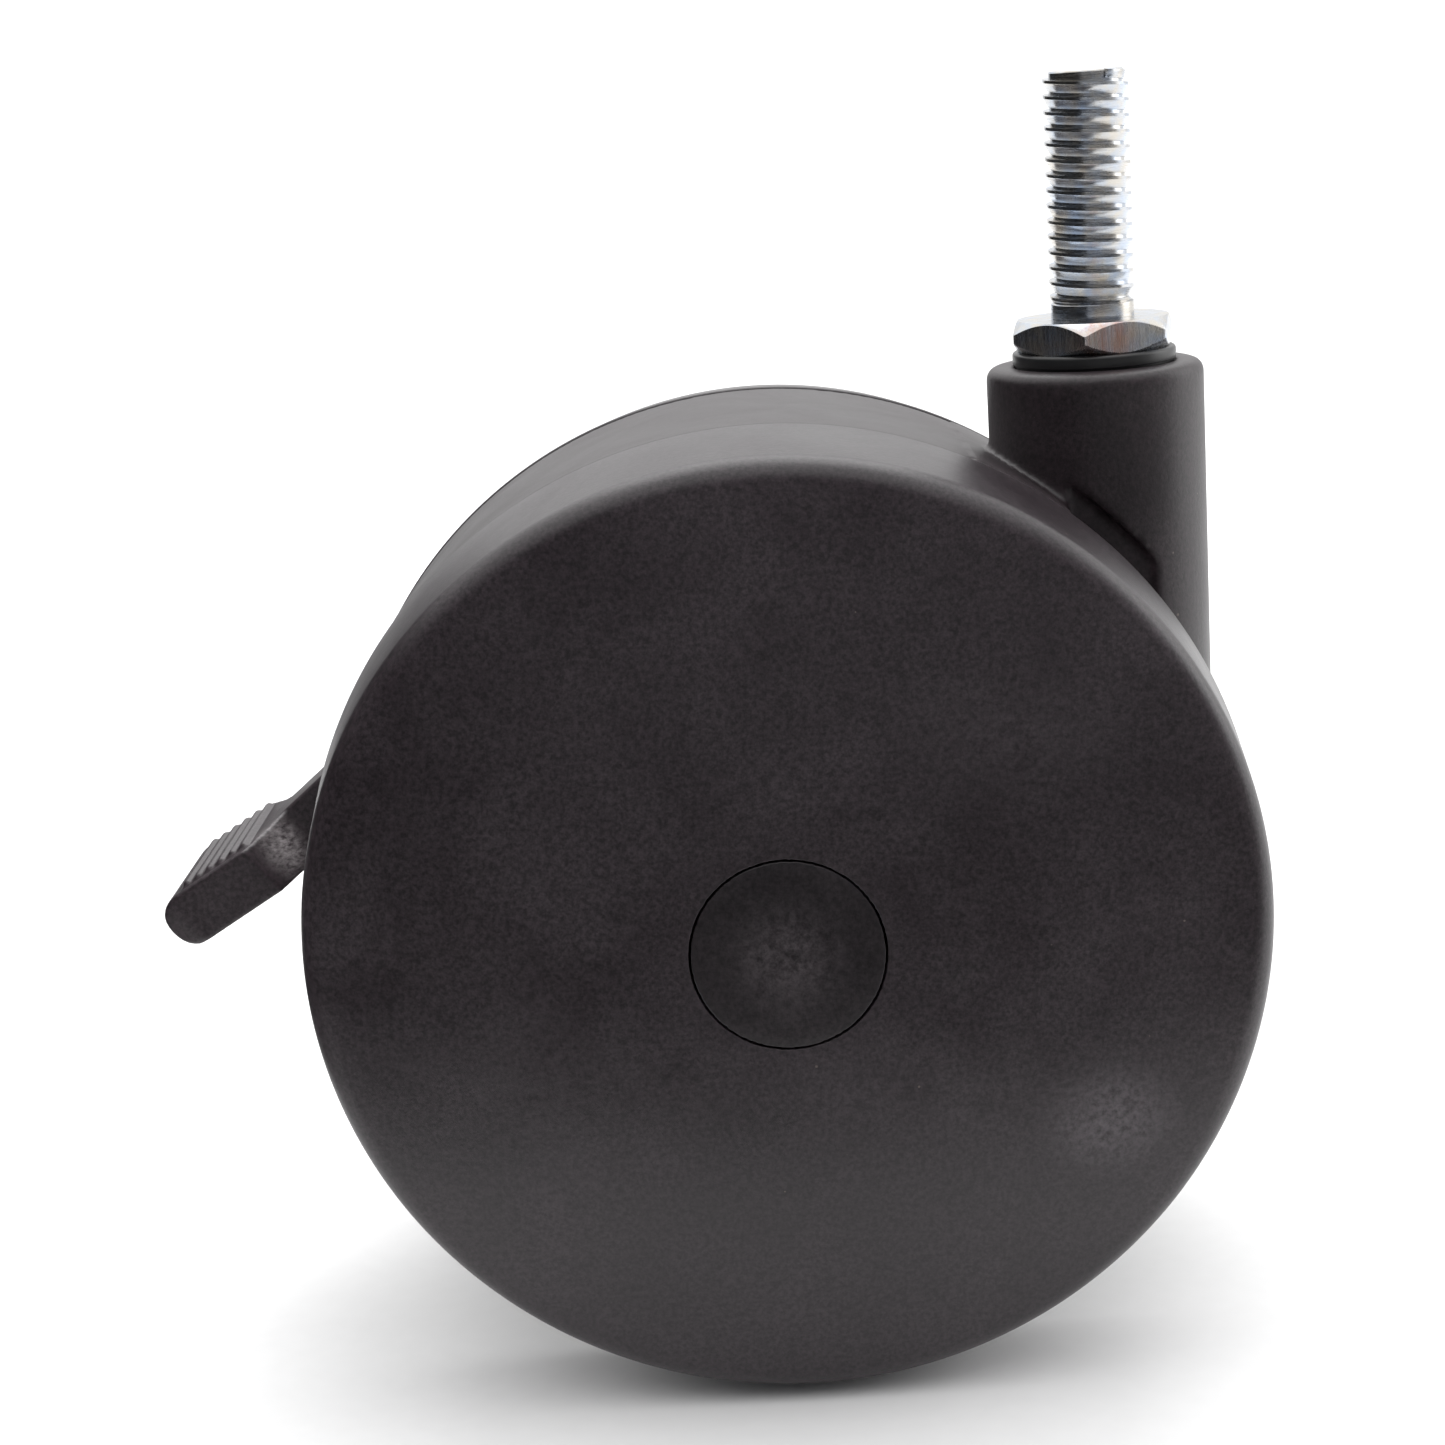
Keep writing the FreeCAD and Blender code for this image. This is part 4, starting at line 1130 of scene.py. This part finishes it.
    def dress(self, plate: bpy.types.Material, washer_finish: bpy.types.Material) -> None:
        """Build the stem and the washer in their places.

        Args:
            plate: the stem's plating.
            washer_finish: the washer's material.
        """
        parts = [self.build_thread(plate), self.build_core(), self.build_hexagon()]
        stem = joined("threaded_stem_steel", parts)
        smooth_by_angle(stem, 28.0)
        here = Matrix.Identity(4)
        finish_piece(stem, here, plate, "stem", ["threaded_stem"])
        finish_piece(self.build_washer(), here, washer_finish, "stem", ["stem_thrust_washer"])


@dataclass
class HousingAssembly:
    """The moulded housing: barrel, hood, cheeks and axle boss, softened from its CAD solid.

    Sizes are in millimetres. The hood's outer surface is drawn in a little, so that both seams
    beside it show.
    """

    voxel: float = 0.34
    rounds: int = 7
    face_share: float = 0.4
    crisp_above: float = -7.5
    crispness: float = 0.75
    hood_radius: float = 49.0
    hood_reach: float = 22.0
    hood_step: float = 0.14

    def build(self) -> bpy.types.Mesh:
        """Build the housing with soft edges.

        Returns:
            The mesh.
        """
        def keep(point: Vector) -> float:
            """Leave the barrel's top edge crisper than the rest."""
            return self.crispness if point.z > self.crisp_above * MM else 0.0

        mesh = cad_copy("housing")
        mesh.name = "housing_moulding"
        mesh = soften(mesh, self.voxel, self.rounds, keep, self.face_share)
        low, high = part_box("axle")
        axle = (low + high) / 2.0
        for vertex in mesh.vertices:
            across = Vector((vertex.co.x - axle.x, 0.0, vertex.co.z - axle.z))
            if across.x < self.hood_reach * MM and across.length > self.hood_radius * MM:
                vertex.co -= across.normalized() * self.hood_step * MM
        return mesh

    def dress(self, material: bpy.types.Material) -> None:
        """Build the housing in its place, in its material."""
        mesh = self.build()
        mesh.shade_smooth()
        finish_piece(mesh, Matrix.Identity(4), material, "housing", ["housing"])


@dataclass
class PedalAssembly:
    """The brake pedal, softened from its CAD solid, with its inner end left as it was.

    Sizes are in millimetres.
    """

    voxel: float = 0.2
    rounds: int = 14
    hidden_reach: float = 16.0

    def build(self) -> bpy.types.Mesh:
        """Build the pedal with soft edges.

        Returns:
            The mesh.
        """
        low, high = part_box("pedal_pivot_pin")
        pivot = (low + high) / 2.0

        def keep(point: Vector) -> float:
            """Leave the lever's inner end, with its bores, as it is."""
            reach = math.hypot(point.x - pivot.x, point.z - pivot.z) / MM
            return 0.9 if reach < self.hidden_reach or point.x > pivot.x else 0.0

        mesh = cad_copy("brake_pedal")
        mesh.name = "brake_pedal_moulding"
        return soften(mesh, self.voxel, self.rounds, keep)

    def dress(self, material: bpy.types.Material) -> None:
        """Build the pedal in its place, in its material."""
        mesh = self.build()
        mesh.shade_smooth()
        finish_piece(mesh, Matrix.Identity(4), material, "pedal", ["brake_pedal"])


@dataclass
class Hardware:
    """The small parts that stay as the CAD made them, and only take a finish."""

    finishes: dict[Slot, bpy.types.Material]

    def dress(self) -> None:
        """Give every CAD node that is still shown the material of its slot."""
        for part in frame["record"]["subparts"]:
            node = frame["nodes"][part["node"]]
            material = self.finishes[Slot(part["material_slot"])]
            if not node.material_slots:
                node.data.materials.append(material)
            for place in node.material_slots:
                place.material = material
            LOG.info("%s: %s", part["node"], material.name)


# ---------------------------------------------------------------- studio


@dataclass
class Studio:
    """Pale floor, soft light, dark cards and the camera.

    Sizes are in metres, turns in radians and the lens in millimetres.
    """

    layout: Layout
    eye: tuple[float, float, float] = (-0.03637, -0.28627, 0.02731)
    yaw: float = -0.0193
    pitch: float = 0.2361
    roll: float = -0.0667
    lens: float = 66.95
    aim: tuple[float, float, float] = (0.0, 0.0, -0.05)
    floor_half: float = 3.0
    card_lift: float = 0.0003
    card_height: float = 0.22
    card_far: float = 0.9
    front_card_edge: float = -0.09
    left_card_edge: float = -0.14
    left_card_back: float = 0.12
    upright_card_x: float = -0.26
    upright_card_span: tuple[float, float] = (-0.7, 0.5)

    @staticmethod
    def lay_sheet(name: str, points: Sequence[Corner], faces: Sequence[Sequence[int]],
                  material: bpy.types.Material) -> bpy.types.Mesh:
        """Make one flat sheet of the studio.

        Args:
            name: the sheet's name.
            points: its corners.
            faces: the corners of each face.
            material: its material.

        Returns:
            The sheet.
        """
        mesh = mesh_from(name, [Vector(point) for point in points], faces)
        mesh.materials.append(material)
        return mesh

    def build_floor(self) -> None:
        """Lay a wide matte floor under the wheels."""
        half = self.floor_half
        level = self.layout.floor
        corners = [(x, y, level) for x, y in ((-half, -half), (half, -half), (half, half), (-half, half))]
        material, tree, where = start_material("floor_paper")
        tooth = noise(tree, where, 2.5, 2.0)
        colour = mix_colours(tree, tooth, linear("#F4F4F4"), linear("#F8F8F8"))
        end_material(tree, {"Base Color": colour, "Roughness": 0.9})
        mesh = self.lay_sheet("floor", corners, [(0, 1, 2, 3)], material)
        new_object(mesh)

    def build_cards(self) -> None:
        """Set dark cards in front and on the left, which only show as reflections in the piece."""
        low = self.layout.floor + self.card_lift
        high = low + self.card_height
        far, front, left = self.card_far, self.front_card_edge, self.left_card_edge
        back = self.left_card_back
        start, end = self.upright_card_span
        flat = ((-far, -far), (far, -far), (far, front), (left, front), (left, back), (-far, back))
        upright = ((start, low), (end, low), (end, high), (start, high))
        corners = [(x, y, low) for x, y in flat] + [(self.upright_card_x, y, z) for y, z in upright]
        material, tree, _ = start_material("dark_card_paper")
        end_material(tree, {"Base Color": linear("#141416"), "Roughness": 1.0})
        faces = [range(len(flat)), range(len(flat), len(corners))]
        card = new_object(self.lay_sheet("dark_card", corners, faces, material))
        card.visible_camera = False
        card.visible_diffuse = False
        card.visible_shadow = False

    def build_light(self) -> None:
        """Light the room: bright behind and above, dimmer on the camera's side, with soft boxes."""
        world = bpy.data.worlds.new("studio_air")
        bpy.context.scene.world = world
        world.use_nodes = True
        tree = world.node_tree
        tree.nodes.clear()
        way = add_node(tree, "ShaderNodeTexCoord").outputs["Generated"]
        parts = add_node(tree, "ShaderNodeSeparateXYZ", {0: way}).outputs
        back = remap(tree, parts["Y"], (-0.35, 0.1), smooth=True)
        high = remap(tree, parts["Z"], (0.4, 0.85), smooth=True)
        right = remap(tree, parts["X"], (-0.3, 0.8), smooth=True)
        dim = mix_colours(tree, right, linear("#48484C"), linear("#6E6E70"))
        colour = mix_colours(tree, sums(tree, "MAXIMUM", back, high), dim, linear("#FFFFFF"))
        strength = remap(tree, parts["Z"], (0.15, 0.65), (1.12, 1.6), smooth=True)
        glow = add_node(tree, "ShaderNodeBackground", {"Color": colour, "Strength": strength})
        add_node(tree, "ShaderNodeOutputWorld", {"Surface": glow.outputs[0]})
        self.add_box("soft_box_top", (0.0, 0.35, 0.9), 0.9, 6.0)
        self.add_box("soft_box_right", (0.75, 0.15, 0.2), 0.5, 1.4)

    def add_box(self, name: str, place: tuple[float, float, float], size: float, power: float) -> None:
        """Hang one square soft box that faces the caster.

        Args:
            name: its name.
            place: where it hangs.
            size: its side.
            power: its power, in watts.
        """
        lamp = bpy.data.lights.new(name, "AREA")
        lamp.shape = "SQUARE"
        lamp.size = size
        lamp.energy = power
        box = bpy.data.objects.new(name, lamp)
        box.location = place
        box.rotation_euler = (Vector(self.aim) - Vector(place)).to_track_quat("-Z", "Y").to_euler()
        bpy.context.scene.collection.objects.link(box)

    def build_camera(self) -> None:
        """Set up the camera, level with the stem's thread and looking a little down."""
        ahead = Vector((math.sin(self.yaw) * math.cos(self.pitch), math.cos(self.yaw) * math.cos(self.pitch),
                        -math.sin(self.pitch)))
        right = Vector((math.cos(self.yaw), -math.sin(self.yaw), 0.0))
        up = right.cross(ahead)
        across = math.cos(self.roll) * right + math.sin(self.roll) * up
        upward = math.cos(self.roll) * up - math.sin(self.roll) * right
        data = bpy.data.cameras.new("camera")
        data.sensor_width = 36.0
        data.lens = self.lens
        data.clip_start = 0.01
        camera = bpy.data.objects.new("camera", data)
        turn = Matrix((across, upward, -ahead)).transposed().to_4x4()
        camera.matrix_world = Matrix.Translation(self.eye) @ turn
        bpy.context.scene.collection.objects.link(camera)
        bpy.context.scene.camera = camera
        bpy.context.scene.view_settings.view_transform = "Standard"

    def build(self) -> None:
        """Build the camera, the floor, the cards and the light."""
        self.build_camera()
        self.build_floor()
        self.build_cards()
        self.build_light()


def main() -> None:
    """Build the caster's looks piece by piece, then the studio round it."""
    logging.basicConfig(level=logging.INFO, format="%(message)s")
    layout = Layout.from_frame()
    finishes = build_finishes()
    Hardware(finishes).dress()
    rib_tree = rib_rule()
    for side in Side:
        WheelAssembly(side, layout).dress(rib_tree, finishes[Slot.WHEEL], finishes[Slot.CAP])
    StemAssembly().dress(finishes[Slot.ZINC], finishes[Slot.BUSH])
    HousingAssembly().dress(finishes[Slot.HOUSING])
    PedalAssembly().dress(finishes[Slot.PEDAL])
    Studio(layout).build()


if __name__ == "__main__":
    main()
